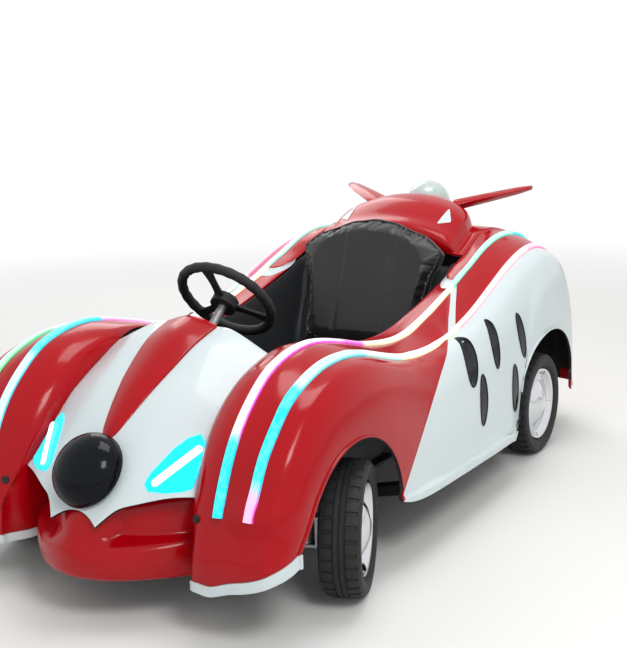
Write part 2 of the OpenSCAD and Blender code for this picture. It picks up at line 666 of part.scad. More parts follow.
module pedals() {
    color(steel) translate([front_x - 20, -130, hump_top + fit]) {
        cube([60, 70, 6]);
        translate([50, 5, 5]) rotate([0, -50, 0]) cube([8, 60, 90]);
    }
}

// Frame
module rail(x0, x1, y) {
    translate([x0, y - tube / 2, frame_z]) cube([x1 - x0, tube, tube]);
}
frame_front = front_x + 205;
frame_rear = rear_x - 380;
outrigger_at = [rear_x + 400, front_x - 320];
bracket_t = 8;
bracket_h = 40;
bracket_gap = 1.6;                        // bonding gap to the sill
arm_drop = 26;                            // depth of an outrigger's arm
// Side and lower edge of the sill beside an outrigger
sill_rows = [drawn_at(row_split) : drawn_at(20)];
sill_side = [for (k = sill_rows) let (p = shell_back[k][last_col - 2]) [p.x, p.y]];
sill_edge = [for (k = sill_rows) let (p = shell_grid[k][last_col]) [p.x, p.z]];
function beside_sill(x) = min(lookup(x, sill_side), lookup(x + tube, sill_side)) - bracket_gap;
function over_sill(x) = max(lookup(x, sill_edge), lookup(x + tube, sill_edge)) + 6;

// Arms from the rails to the sills, rising to stay behind the sill's lower edge.
module outriggers() {
    inner = rail_span / 2 + tube / 2;
    color("#2b2d30") both_sides() for (x = outrigger_at)
        let (y = beside_sill(x), z = over_sill(x))
        translate([x, 0, 0]) rotate([90, 0, 90]) linear_extrude(tube)
            polygon([[inner, rail_top - arm_drop], [inner, rail_top - 6], [y - bracket_t, z + arm_drop],
                     [y - bracket_t, z + bracket_h], [y, z + bracket_h], [y, z]]);
}

module chassis_frame() {
    color("#2b2d30") difference() {
        union() {
            rail(frame_rear, frame_front, rail_span / 2);
            rail(frame_rear, frame_front, -rail_span / 2);
            for (x = [frame_rear, rear_x - 260, rear_x - 130, rear_x + 330, front_x - 320,
                      frame_front - tube])
                translate([x, -rail_span / 2, frame_z]) cube([tube, rail_span, tube]);
            translate([frame_front, -20, frame_z]) cube([40, 40, 12]);
            translate([frame_rear - 30, -20, frame_z]) cube([30, 40, 12]);
        }
        translate([frame_front + 22, 0, frame_z - 1]) cylinder(h = 14, d = tow_bore);
        translate([frame_rear - 14, 0, frame_z - 1]) cylinder(h = 14, d = tow_bore);
    }
}
// Front axle and steering knuckles
beam = 36;
boss_d = 32;
pin_d = 16;
boss_z = rail_top + fit;
module front_axle() {
    y = kingpin_span / 2;
    color(steel) difference() {
        union() {
            translate([front_x - beam / 2, -y + 8, boss_z]) cube([beam, 2 * y - 16, beam]);
            for (s = [-1, 1]) translate([front_x, s * y, boss_z - 10])
                cylinder(h = beam + 20, d = boss_d);
        }
        for (k = [-1, 0, 1]) translate([front_x, k * y, boss_z - 20])
            cylinder(h = beam + 40, d = pin_d + 2 * fit);
    }
}

lug_t = 7;
web_y = boss_d / 2 + 5;
wheel_offset = (front_track - kingpin_span) / 2;
hub_share = 0.36;                         // share of the room beside the knuckle
hub_in = hub_share * (wheel_offset - web_y - 8);   // hub inside the wheel's middle
hub_face = wheel_offset - hub_in - 2;
arm_t = 8;
arm_z = boss_z - 10 - 1 - arm_t;
rod_z = rail_top + 12;
rod_eye = 16;
rod_pin_d = 10;

// Steering arm from an upright axis at the origin to the pin of the track rod.
module rod_arm() {
    translate([-steer_arm, -11, arm_z]) cube([steer_arm, 22, arm_t]);
    translate([-steer_arm, 0, arm_z]) cylinder(h = rod_z - rod_eye / 2 - 1 - arm_z, d = 22);
    translate([-steer_arm, 0, arm_z]) cylinder(h = rod_z + 14 - arm_z, d = rod_pin_d);
}

// Drawn with the kingpin at the origin of X and Y, and the stub axle along +Y.
module knuckle() {
    hi = boss_z + beam + 10 + 1;
    translate([0, 0, arm_z]) cylinder(h = hi + lug_t - arm_z, d = pin_d);
    for (z = [arm_z, hi]) translate([0, 0, z]) {
        cylinder(h = lug_t, d = boss_d);
        translate([-boss_d / 2, 0, 0]) cube([boss_d, web_y + 8, lug_t]);
    }
    translate([-boss_d / 2, web_y, arm_z]) cube([boss_d, 8, hi + lug_t - arm_z]);
    translate([0, web_y + 4, axle_z]) rotate([-90, 0, 0])
        cylinder(h = hub_face + 40 - web_y - 4, d = axle_d);
    rod_arm();
}
module steered(side) {
    translate([front_x, side * kingpin_span / 2, 0]) rotate([0, 0, steer_now]) children();
}
module knuckle_left() { color(steel) steered(1) knuckle(); }
module knuckle_right() { color(steel) steered(-1) mirror([0, 1, 0]) knuckle(); }

rod_at = [front_x - steer_arm * cos(steer_now), -steer_arm * sin(steer_now), rod_z];
module tie_rod() {
    y = kingpin_span / 2;
    color(steel) translate(rod_at) difference() {
        union() {
            translate([0, -y, 0]) rotate([-90, 0, 0]) cylinder(h = 2 * y, d = 14);
            for (k = [-1, 0, 1]) translate([0, k * y, -rod_eye / 2]) cylinder(h = rod_eye, d = 24);
        }
        for (k = [-1, 0, 1]) translate([0, k * y, -rod_eye])
            cylinder(h = 2 * rod_eye, d = rod_pin_d + 2 * fit);
    }
}

// Rear axle and drive
module rear_axle() {
    color(steel) translate([rear_x, 0, axle_z]) {
        rotate([-90, 0, 0]) translate([0, 0, -(track / 2 - 60)]) cylinder(h = track - 120, d = 48);
        rotate([-90, 0, 0]) translate([0, 0, -(track / 2 + 18)]) cylinder(h = track + 36, d = axle_d);
        for (s = [-1, 1]) translate([-30, s * rail_span / 2 - 18, rail_top + fit - axle_z])
            cube([60, 36, axle_z - rail_top - fit]);
    }
}
module drive_motor() {
    color("#3a3d42") translate([rear_x, 0, axle_z]) difference() {
        union() {
            translate([0, -60, 0]) rotate([-90, 0, 0]) cylinder(h = 120, d = 130);
            translate([90, -75, 8]) rotate([-90, 0, 0]) cylinder(h = 150, d = 104);
        }
        translate([0, -70, 0]) rotate([-90, 0, 0]) cylinder(h = 140, d = 48 + 2 * fit);
    }
}
module battery() {
    color(black) translate([rear_x - 262, -165, rail_top + fit]) cube([170, 330, 200]);
}

// Wheels: drawn with the hub's middle at the origin and the outer side along +Y.
module tyre() {
    r = tyre_d / 2;
    w = tyre_w / 2;
    s = rim_d / 2 + fit;
    // share of the side's height, distance from the side
    half = [[0, 12], [0.16, 4], [0.42, 0], [0.72, 1], [0.9, 7], [0.97, 22]];
    side = [for (p = half) [mix(s, r, p[0]), w - p[1]]];
    rotate([-90, 0, 0]) rotate_extrude($fn = 96)
        polygon(concat([for (p = side) [p.x, -p.y]], [[r, 0]],
                       [for (k = [len(side) - 1 : -1 : 0]) side[k]]));
}
module rim() {
    r = rim_d / 2;
    w = tyre_w / 2;
    b = axle_d / 2 + fit;
    rotate([-90, 0, 0]) rotate_extrude($fn = 96)
        polygon([[b, -hub_in], [30, -hub_in], [32, 4], [r - 14, 8], [r - 10, -w + 14], [r, -w + 14],
                 [r, w - 14], [r - 6, w - 8], [r - 12, w - 10], [r - 22, w - 24], [r - 44, w - 22],
                 [46, w - 8], [34, w - 4], [18, w + 1], [0, w + 2], [0, w - 8], [b, w - 8]]);
}
module front_wheel(side) {
    steered(side) translate([0, side * wheel_offset, axle_z])
        if (side > 0) children(); else mirror([0, 1, 0]) children();
}
module rear_wheel(side) {
    translate([rear_x, side * track / 2, axle_z])
        if (side > 0) children(); else mirror([0, 1, 0]) children();
}
module tyre_front_left() { color(black) front_wheel(1) tyre(); }
module tyre_front_right() { color(black) front_wheel(-1) tyre(); }
module tyre_rear_left() { color(black) rear_wheel(1) tyre(); }
module tyre_rear_right() { color(black) rear_wheel(-1) tyre(); }
module rim_front_left() { color("silver") front_wheel(1) rim(); }
module rim_front_right() { color("silver") front_wheel(-1) rim(); }
module rim_rear_left() { color("silver") rear_wheel(1) rim(); }
module rim_rear_right() { color("silver") rear_wheel(-1) rim(); }

bonnet();
bonnet_ridge();
nose_cap();
headlamps();
front_valance();
fender_left();
fender_right();
fender_trims();
quarter_left();
quarter_right();
shoulder_left();
shoulder_right();
belt_bands();
light_strips();
side_vents();
rear_deck();
tail_lamps();
headrest_dome();
headrest_wings();
cockpit_tub();
seat_cushion();
seat_backrest();
dashboard();
steering_column();
steering_wheel();
steering_box();
drop_shaft();
pedals();
chassis_frame();
outriggers();
front_axle();
knuckle_left();
knuckle_right();
tie_rod();
rear_axle();
drive_motor();
battery();
tyre_front_left();
tyre_front_right();
tyre_rear_left();
tyre_rear_right();
rim_front_left();
rim_front_right();
rim_rear_left();
rim_rear_right();
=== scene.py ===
# Fairground bumper car: finishes and fine shapes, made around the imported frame.
import json
import math

import bmesh
import bpy
from mathutils import Matrix, Vector
from mathutils.bvhtree import BVHTree


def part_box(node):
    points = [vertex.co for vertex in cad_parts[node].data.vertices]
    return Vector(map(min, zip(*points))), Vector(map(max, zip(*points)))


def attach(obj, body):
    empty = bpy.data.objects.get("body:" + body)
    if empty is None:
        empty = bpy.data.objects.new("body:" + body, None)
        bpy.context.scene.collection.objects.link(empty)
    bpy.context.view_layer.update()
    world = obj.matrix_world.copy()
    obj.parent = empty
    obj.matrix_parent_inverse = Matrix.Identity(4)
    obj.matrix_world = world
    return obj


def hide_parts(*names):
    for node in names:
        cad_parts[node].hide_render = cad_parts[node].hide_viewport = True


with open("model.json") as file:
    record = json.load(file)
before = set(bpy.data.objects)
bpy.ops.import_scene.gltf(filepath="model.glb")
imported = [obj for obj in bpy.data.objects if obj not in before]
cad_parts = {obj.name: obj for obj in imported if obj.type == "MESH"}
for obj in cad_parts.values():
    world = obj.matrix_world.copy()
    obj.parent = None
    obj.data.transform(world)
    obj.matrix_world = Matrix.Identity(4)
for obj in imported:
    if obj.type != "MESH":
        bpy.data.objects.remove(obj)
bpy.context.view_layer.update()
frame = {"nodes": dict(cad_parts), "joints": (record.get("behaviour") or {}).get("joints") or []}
scene = bpy.context.scene
joints = {j["name"]: j for j in frame["joints"]}
mm = 0.001
frontAxleX = sum((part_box("front_axle")[0].x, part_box("front_axle")[1].x)) / 2
rearAxleX = sum((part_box("rear_axle")[0].x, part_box("rear_axle")[1].x)) / 2
print("frame loaded:", len(frame["nodes"]), "nodes")


# small helpers

def hexColour(text):
    def linear(v):
        return v / 12.92 if v <= 0.04045 else ((v + 0.055) / 1.055) ** 2.4
    return tuple(linear(int(text[i:i + 2], 16) / 255) for i in (1, 3, 5)) + (1.0,)


def addNode(tree, kind, settings=None, links=None):
    node = tree.nodes.new(kind)
    for key, value in (settings or {}).items():
        if isinstance(key, int) or key in node.inputs:
            node.inputs[key].default_value = value
        else:
            setattr(node, key, value)
    for key, source in (links or {}).items():
        tree.links.new(source, node.inputs[key])
    return node


def pick(*objs):
    bpy.ops.object.select_all(action="DESELECT")
    for obj in objs:
        obj.select_set(True)
    bpy.context.view_layer.objects.active = objs[0]


def editStart(obj, kind="FACE"):
    pick(obj)
    bpy.ops.object.mode_set(mode="EDIT")
    bpy.ops.mesh.select_mode(type=kind)
    selectAll()


def editEnd():
    bpy.ops.object.mode_set(mode="OBJECT")


# the object that the last operator made
def made():
    return bpy.context.view_layer.objects.active


def applyPlace(obj):
    pick(obj)
    bpy.ops.object.transform_apply(location=True, rotation=True, scale=True)


def selectAll():
    bpy.ops.mesh.select_all(action="SELECT")


def turnOutward():
    selectAll()
    bpy.ops.mesh.normals_make_consistent(inside=False)


def extrudeUp(heightMm):
    bpy.ops.mesh.extrude_region_move(TRANSFORM_OT_translate={"value": (0, 0, heightMm * mm)})


# selects the faces whose middle and normal pass the test; in edit mode
def chooseFaces(obj, test):
    bpy.ops.mesh.select_all(action="DESELECT")
    mesh = bmesh.from_edit_mesh(obj.data)
    for face in mesh.faces:
        if test(face.calc_center_median(), face.normal):
            face.select_set(True)
    bmesh.update_edit_mesh(obj.data)


def useModifier(obj, kind, **settings):
    pick(obj)
    mod = obj.modifiers.new(kind.lower(), kind)
    for key, value in settings.items():
        setattr(mod, key, value)
    bpy.ops.object.modifier_apply(modifier=mod.name)


def joinAll(parts, name):
    pick(*parts)
    bpy.ops.object.join()
    obj = made()
    obj.name = obj.data.name = name
    return obj


def copyOf(obj, name):
    new = obj.copy()
    new.data = obj.data.copy()
    new.name = new.data.name = name
    scene.collection.objects.link(new)
    return new


# the surface of one or more finished panels, to lay other pieces on
def surfaceOf(*objs):
    mesh = bmesh.new()
    for obj in objs:
        mesh.from_mesh(obj.data)
    surface = BVHTree.FromBMesh(mesh)
    mesh.free()
    return surface


# a plane at spot: its Z looks outward, its Y runs along
def planeAt(spot, outward, along):
    z = outward.normalized()
    y = (along - z * along.dot(z)).normalized()
    return Matrix.Translation(spot) @ Matrix((y.cross(z), y, z)).transposed().to_4x4()


# lays a flat piece on a surface: X and Y stay in the plane, Z is the height over the surface
def layOn(obj, surface, plane, fromMm=60):
    outward = plane.to_3x3() @ Vector((0, 0, 1))
    for vertex in obj.data.vertices:
        flat = plane @ Vector((vertex.co.x, vertex.co.y, 0))
        spot = surface.ray_cast(flat + outward * fromMm * mm, -outward)[0]
        vertex.co = (flat if spot is None else spot) + outward * vertex.co.z


# the points of each loose part of a CAD node
def looseParts(node):
    mesh = bmesh.new()
    mesh.from_mesh(frame["nodes"][node].data)
    bmesh.ops.remove_doubles(mesh, verts=mesh.verts, dist=0.02 * mm)
    found, parts = set(), []
    for first in mesh.verts:
        if first in found:
            continue
        found.add(first)
        part = [first]
        for vertex in part:
            for edge in vertex.link_edges:
                other = edge.other_vert(vertex)
                if other not in found:
                    found.add(other)
                    part.append(other)
        parts.append([v.co.copy() for v in part])
    mesh.free()
    return parts


# places the mesh, shades it and hangs it on its body
def finishPiece(obj, name, material, stands=(), smoothDeg=35, body="root"):
    applyPlace(obj)
    bpy.ops.object.shade_smooth_by_angle(angle=math.radians(smoothDeg))
    obj.name = obj.data.name = name
    if material is not None:
        obj.data.materials.clear()
        obj.data.materials.append(material)
    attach(obj, body)
    if stands:
        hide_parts(*stands)
    return obj


# materials

def newMaterial(name):
    mat = bpy.data.materials.new(name)
    mat.use_nodes = True
    tree = mat.node_tree
    tree.nodes.clear()
    shader = addNode(tree, "ShaderNodeBsdfPrincipled")
    addNode(tree, "ShaderNodeOutputMaterial", links={"Surface": shader.outputs[0]})
    place = addNode(tree, "ShaderNodeTexCoord").outputs["Object"]
    return mat, shader, place


# sets sockets: another node's socket is linked, a hex colour or a number is written in
def setSockets(node, sockets):
    for key, value in sockets.items():
        if isinstance(value, bpy.types.NodeSocket):
            node.id_data.links.new(value, node.inputs[key])
        else:
            node.inputs[key].default_value = hexColour(value) if isinstance(value, str) else value


# noise, cells and bands whose features are about sizeMm across
def textureOf(kind, place, sizeMm, settings):
    return addNode(place.id_data, kind, {"Scale": 1 / (sizeMm * mm), **settings},
                   {"Vector": place}).outputs


def noiseOf(place, sizeMm, detail=3.0, rough=0.5):
    return textureOf("ShaderNodeTexNoise", place, sizeMm,
                     {"Detail": detail, "Roughness": rough})[0]


def cellsOf(place, sizeMm, feature="F1"):
    return textureOf("ShaderNodeTexVoronoi", place, sizeMm, {"feature": feature})["Distance"]


def bandsOf(place, sizeMm, distortion, direction):
    return textureOf("ShaderNodeTexWave", place, sizeMm,
                     {"Distortion": distortion, "bands_direction": direction})[0]


def between(factor, low, high, fromLow=0.0, fromHigh=1.0):
    return addNode(factor.id_data, "ShaderNodeMapRange",
                   {"From Min": fromLow, "From Max": fromHigh, "To Min": low, "To Max": high},
                   {"Value": factor}).outputs[0]


def mathOf(operation, *values, clamp=False):
    node = addNode(values[0].id_data, "ShaderNodeMath",
                   {"operation": operation, "use_clamp": clamp})
    setSockets(node, dict(enumerate(values)))
    return node.outputs[0]


def mixColour(factor, colourA, colourB):
    node = addNode(factor.id_data, "ShaderNodeMix", {"data_type": "RGBA"}, {0: factor})
    setSockets(node, {6: colourA, 7: colourB})
    return node.outputs[2]


def alongAxis(vector, axis):
    return addNode(vector.id_data, "ShaderNodeSeparateXYZ", links={0: vector}).outputs[axis]


def addBump(shader, height, strength, distanceMm, under=None):
    links = {"Height": height} if under is None else {"Height": height, "Normal": under}
    bump = addNode(shader.id_data, "ShaderNodeBump",
                   {"Strength": strength, "Distance": distanceMm * mm}, links)
    setSockets(shader, {"Normal": bump.outputs[0]})
    return bump.outputs[0]


# moulded fibreglass with a gelcoat: deep colour under a hard clear gloss, faint orange peel,
# polishing marks, and a little road dust on the lowest hand's breadth
def gelcoat(name, colour, shade):
    mat, shader, place = newMaterial(name)
    look = {"cloudMm": 420, "peelMm": 7, "markMm": 60, "dust": "#8c7f70", "dustMm": 5,
            "dustTop": 0.2, "dustFoot": 0.1, "dustMost": 0.08, "dustRough": 1.2}
    tone = mixColour(noiseOf(place, look["cloudMm"], 2), shade, colour)
    low = between(alongAxis(place, "Z"), look["dustMost"], 0,
                  look["dustFoot"], look["dustTop"])
    specks = noiseOf(place, look["dustMm"], 6, 0.7)
    dust = mathOf("MULTIPLY", low, between(specks, 0, 1, 0.45, 0.7))
    marks = between(noiseOf(place, look["markMm"], 6, 0.7), 0.14, 0.24, 0.35, 0.7)
    setSockets(shader, {
        "Base Color": mixColour(dust, tone, look["dust"]),
        "Roughness": mathOf("MULTIPLY_ADD", dust, look["dustRough"], marks),
        "Specular IOR Level": 0.2, "Coat Weight": 0.1, "Coat Roughness": 0.04})
    addBump(shader, noiseOf(place, look["peelMm"], 2), 0.1, 0.3)
    return mat


# the back of a moulding: near-black, partly a flow coat over the mat and partly painted shade for
# the dark hollows behind the panels; dull, with the glass fibres showing through
def flowCoatAndShade(name, colour, pale):
    mat, shader, place = newMaterial(name)
    strands = noiseOf(place, 16, 8, 0.75)
    setSockets(shader, {
        "Base Color": mixColour(between(strands, 0, 1, 0.4, 0.75), colour, pale),
        "Roughness": between(strands, 0.6, 0.85), "Specular IOR Level": 0.25})
    addBump(shader, strands, 0.5, 1.2)
    return mat


# glossy moulded ABS, nearly black with a blue cast, fine moulding flow and hairline marks
def glossyAbs(name, colour, cast):
    mat, shader, place = newMaterial(name)
    marks = noiseOf(place, 18, 7, 0.75)
    setSockets(shader, {
        "Base Color": mixColour(noiseOf(place, 90, 4), colour, cast),
        "Roughness": between(marks, 0.08, 0.2, 0.4, 0.75),
        "Specular IOR Level": 0.12, "Coat Weight": 0.05, "Coat Roughness": 0.04})
    addBump(shader, noiseOf(place, 6, 2), 0.1, 0.25)
    return mat


# textured ABS moulding, matt and dark, with a 2 mm leather-like grain that is drawn at 3 mm
def grainedAbs(name, colour, pale):
    mat, shader, place = newMaterial(name)
    cloud = noiseOf(place, 160, 5)
    setSockets(shader, {"Base Color": mixColour(cloud, colour, pale),
                              "Roughness": between(cloud, 0.5, 0.68)})
    addBump(shader, cellsOf(place, 3, "SMOOTH_F1"), 0.35, 0.5)
    return mat


# upholstery vinyl: soft black with a fine pebble grain, creases and a low sheen
def vinyl(name, colour, worn):
    mat, shader, place = newMaterial(name)
    wear = noiseOf(place, 120, 5, 0.6)
    setSockets(shader, {
        "Base Color": mixColour(between(wear, 0, 1, 0.45, 0.8), colour, worn),
        "Roughness": between(wear, 0.34, 0.52), "Sheen Weight": 0.12})
    creases = addBump(shader, noiseOf(place, 45, 4), 0.35, 3)
    addBump(shader, cellsOf(place, 2.5, "SMOOTH_F1"), 0.3, 0.4, creases)
    return mat


# rubber and thread: matt, greyed by dust in patches, with open pores
def rubber(name, colour, dusty):
    mat, shader, place = newMaterial(name)
    cloud = noiseOf(place, 55, 7, 0.65)
    setSockets(shader, {
        "Base Color": mixColour(between(cloud, 0, 1, 0.45, 0.8), colour, dusty),
        "Roughness": between(cloud, 0.55, 0.8)})
    addBump(shader, noiseOf(place, 3, 4), 0.3, 0.4)
    return mat


# chromed pressed steel: a mirror with faint smears and a few pits
def chrome(name, dull, bright):
    mat, shader, place = newMaterial(name)
    smear = noiseOf(place, 38, 6, 0.7)
    setSockets(shader, {"Base Color": mixColour(smear, dull, bright), "Metallic": 1,
                              "Roughness": between(smear, 0.05, 0.2, 0.4, 0.8)})
    addBump(shader, noiseOf(place, 5, 3), 0.05, 0.2)
    return mat


# zinc-plated steel: bright grey spangle, dulled in patches
def zincSteel(name, dull, bright):
    mat, shader, place = newMaterial(name)
    patch = noiseOf(place, 26, 6, 0.65)
    setSockets(shader, {"Base Color": mixColour(patch, dull, bright), "Metallic": 0.9,
                              "Roughness": between(patch, 0.3, 0.55)})
    addBump(shader, cellsOf(place, 6), 0.08, 0.2)
    return mat


# powder coat on welded tube: satin black with a fine texture and dust on what faces up
def powderCoat(name, colour, dusty):
    mat, shader, place = newMaterial(name)
    dust = noiseOf(place, 70, 7, 0.7)
    up = alongAxis(addNode(mat.node_tree, "ShaderNodeNewGeometry").outputs["Normal"], "Z")
    lying = mathOf("MULTIPLY", up, between(dust, 0, 0.6, 0.4, 0.8), clamp=True)
    setSockets(shader, {"Base Color": mixColour(lying, colour, dusty),
                              "Roughness": between(dust, 0.38, 0.62)})
    addBump(shader, noiseOf(place, 2.5, 2), 0.25, 0.25)
    return mat


# milky acrylic light tube lit from inside: the top of the tube glows paler than its sides, and
# the colours come in runs along its length; "core" is the piece's own attribute, 1 on the top
def lightTube(name, runs):
    mat, shader, place = newMaterial(name)
    reach, blend = 1.1, 0.008   # metres of car each way that a ramp spans, half of a change
    along = between(alongAxis(place, "X"), 0, 1, -reach, reach)
    tones = []
    for column in (1, 2):
        ramp = addNode(mat.node_tree, "ShaderNodeValToRGB", links={0: along})
        stops = ramp.color_ramp.elements
        stops.remove(stops[-1])
        stops[0].position = 0
        stops[0].color = hexColour(runs[0][column])
        for run, last in zip(runs[1:], runs):
            for shift, tone in ((-blend, last[column]), (blend, run[column])):
                stops.new((run[0] + shift + reach) / (2 * reach)).color = hexColour(tone)
        tones.append(ramp.outputs[0])
    core = addNode(mat.node_tree, "ShaderNodeAttribute", {"attribute_name": "core"})
    tone = mixColour(core.outputs["Fac"], *tones)
    diodes = noiseOf(place, 14, 1)
    bright = between(diodes, 0, 0.12, 0.4, 0.7)
    setSockets(shader, {
        "Emission Color": mixColour(bright, tone, "#ffffff"),
        "Base Color": mixColour(between(diodes, 0.72, 0.8), tone, "#20282a"),
        "Emission Strength": 0.95, "Roughness": 0.28, "Specular IOR Level": 0.3})
    addBump(shader, noiseOf(place, 5, 2), 0.1, 0.3)
    return mat


# lamp lens: tinted acrylic over lit diodes, with fine flutes moulded inside
def lampLens(name, colour, glow, strength):
    mat, shader, place = newMaterial(name)
    flutes = bandsOf(place, 24, 0.4, "Y")
    setSockets(shader, {
        "Emission Color": mixColour(between(flutes, 0, 0.3), glow, colour),
        "Emission Strength": strength, "Base Color": colour,
        "Roughness": 0.14, "Specular IOR Level": 0.35})
    addBump(shader, flutes, 0.15, 0.6)
    return mat


# milky acrylic dome: pale and translucent, with a hard gloss and moulding rings
def milkyAcrylic(name, colour, shade):
    mat, shader, place = newMaterial(name)
    cloud = noiseOf(place, 60, 3)
    setSockets(shader, {
        "Base Color": mixColour(cloud, shade, colour),
        "Roughness": between(cloud, 0.07, 0.16),
        "Subsurface Weight": 0.4, "Subsurface Scale": 8 * mm, "Coat Weight": 0.5})
    addBump(shader, bandsOf(place, 30, 0.5, "Z"), 0.1, 0.5)
    return mat


stripRuns = {  # x of each change, then the colours of the sides and of the top in front of it
    "strip_left_inner": ((-1.1, "#c92fd0", "#e768ea"), (-0.84, "#00c8d8", "#3fe9ee"),
                         (-0.7, "#35d9b4", "#bffbe6"), (-0.25, "#e8dcae", "#fffdf0"),
                         (0.3, "#d61fc4", "#ff9be8"), (0.4, "#f032d8", "#fff2fc"),
                         (0.85, "#00c8e6", "#14f0ff")),
    "strip_left_outer": ((-1.1, "#ff6fa6", "#ffc4da"), (-0.62, "#ff9fb0", "#ffe6e2"),
                         (-0.1, "#f4e6b4", "#ffffff"), (0.25, "#9fe9dc", "#ffffff"),
                         (0.44, "#00d2e6", "#c9fff6"), (0.73, "#00c8e6", "#14f0ff"),
                         (0.905, "#f030d4", "#ffc4f4")),
    "strip_right_inner": ((-1.1, "#7fe6cf", "#e9fff4"), (-0.3, "#f2e3bf", "#ffffff"),
                          (0.3, "#ff8adf", "#ffe6f8"), (0.5, "#00d2e6", "#5cf4fb"),
                          (0.75, "#00c8e6", "#d6fcff")),
    "strip_right_outer": ((-1.1, "#ff6fa6", "#ffc4da"), (-0.3, "#9fe9c8", "#ffffff"),
                          (0.6, "#3fe08a", "#c2ffd9"), (0.8, "#8ff0da", "#ffffff")),
}

paintRed = gelcoat("red gelcoat on fibreglass", "#b3000f", "#9c000c")
paintWhite = gelcoat("white gelcoat on fibreglass", "#d3dddf", "#c8d4d7")
# near-black backs of the panels: partly a flow coat, partly painted shade in the arches and hollows
backCoatAndShade = flowCoatAndShade("black flow coat and painted shade on fibreglass", "#121114", "#40362c")
blackAbs = glossyAbs("glossy black ABS", "#05070b", "#0e131c")
tubAbs = grainedAbs("grained black ABS", "#17191c", "#26292d")
seatVinyl = vinyl("black upholstery vinyl", "#0c0d0f", "#1b1d20")
tyreRubber = rubber("tyre rubber", "#0e0f11", "#23211f")
gripRubber = rubber("soft grip PVC", "#0f1012", "#1a1b1d")
# pale thread: real stitching whose paleness also paints the row of highlights along the backrest's
# top edge
paleThreadAndHighlights = rubber("pale polyester thread with painted highlights", "#9fa3a6", "#c4c7c8")
wheelChrome = chrome("chromed pressed steel", "#c9ccd2", "#e3e4e6")
plainSteel = zincSteel("zinc-plated steel", "#7f8286", "#b4b6b8")
framePaint = powderCoat("black powder coat", "#17191b", "#6d665c")
batteryCase = grainedAbs("moulded polypropylene", "#15171a", "#1f2226")
lensCyan = lampLens("cyan lamp acrylic", "#00c4e0", "#10e6f6", 0.8)
lensRed = lampLens("red lamp acrylic", "#a3060c", "#ff2a24", 0.3)
barWhite = lampLens("white light bar acrylic", "#ffffff", "#f0fdff", 1.1)
domeMilk = milkyAcrylic("milky acrylic dome", "#c6d4d0", "#a9bcb8")
stripTubes = {name: lightTube(f"milky acrylic tube {name}", runs)
              for name, runs in stripRuns.items()}
print("materials made")


# CAD nodes whose shape stays: they only take their finish
nodeFinish = {
    framePaint: ("chassis_frame", "outriggers", "drive_motor"),
    batteryCase: ("battery",),
    plainSteel: ("front_axle", "rear_axle", "knuckle_left", "knuckle_right", "tie_rod",
                 "drop_shaft", "steering_box", "steering_column", "pedals"),
}
for finish, nodes in nodeFinish.items():
    for node in nodes:
        materials = frame["nodes"][node].data.materials
        materials.clear()
        materials.append(finish)


# body panels: each is the CAD panel's own points with a smooth surface drawn through them
panelLook = {"mergeMm": 0.02, "creaseDeg": 62, "levels": 2, "fitRounds": 4,
             "edgeMm": 1.2, "edgeDeg": 55}
hollows = {  # middle of the space behind each kind of panel, which its back faces look at
    "side": lambda c: Vector((min(max(c.x, rearAxleX - 0.1), frontAxleX + 0.08),
                              math.copysign(0.4, c.y), 0.12)),
    "bonnet": lambda c: Vector((c.x - 0.3, 0, c.z - 0.4)),
    "chin": lambda c: Vector((frontAxleX + 0.12, 0, 0.2)),
    "tail": lambda c: Vector((rearAxleX + 0.1, 0, 0.35)),
}


# a copy of a CAD node with its facets joined, the node itself staying as it is
def mergedCopy(node, name):
    obj = bpy.data.objects.new(name, frame["nodes"][node].data.copy())
    scene.collection.objects.link(obj)
    editStart(obj)
    bpy.ops.mesh.customdata_custom_splitnormals_clear()
    bpy.ops.mesh.remove_doubles(threshold=panelLook["mergeMm"] * mm)
    editEnd()
    return obj


def panelCopy(node, name):
    obj = mergedCopy(node, name)
    editStart(obj)
    bpy.ops.mesh.tris_convert_to_quads(face_threshold=math.radians(50),
                                       shape_threshold=math.radians(120))
    editEnd()
    return obj


# creases the rims, subdivides, and moves the cage until the surface meets the CAD points
def drawThrough(obj, levels):
    mesh = bmesh.new()
    mesh.from_mesh(obj.data)
    crease = mesh.edges.layers.float.new("crease_edge")
    for edge in mesh.edges:
        bend = edge.calc_face_angle(0)
        if len(edge.link_faces) != 2 or bend > math.radians(panelLook["creaseDeg"]):
            edge[crease] = 1
    mesh.to_mesh(obj.data)
    mesh.free()
    mod = obj.modifiers.new("smooth", "SUBSURF")
    mod.levels = mod.render_levels = levels
    goal = [v.co.copy() for v in obj.data.vertices]
    for _ in range(panelLook["fitRounds"]):
        shown = obj.evaluated_get(bpy.context.evaluated_depsgraph_get()).data
        steps = [aim - shown.vertices[i].co for i, aim in enumerate(goal)]
        for vertex, step in zip(obj.data.vertices, steps):
            vertex.co += step
        obj.data.update()
        bpy.context.view_layer.update()
    pick(obj)
    bpy.ops.object.modifier_apply(modifier=mod.name)


# gives the faces that look into the hollow behind a panel the second finish, whose near-black is
# partly painted shade
def coatBackAndShade(obj, front, back, hollow):
    obj.data.materials.clear()
    for finish in (front, back):
        obj.data.materials.append(finish)
    for face in obj.data.polygons:
        face.material_index = int(face.normal.dot(face.center - hollow(face.center)) < 0)


def roundEdges(obj, edgeMm, edgeDeg, steps=2):
    useModifier(obj, "BEVEL", width=edgeMm * mm, segments=steps, limit_method="ANGLE",
                angle_limit=math.radians(edgeDeg))


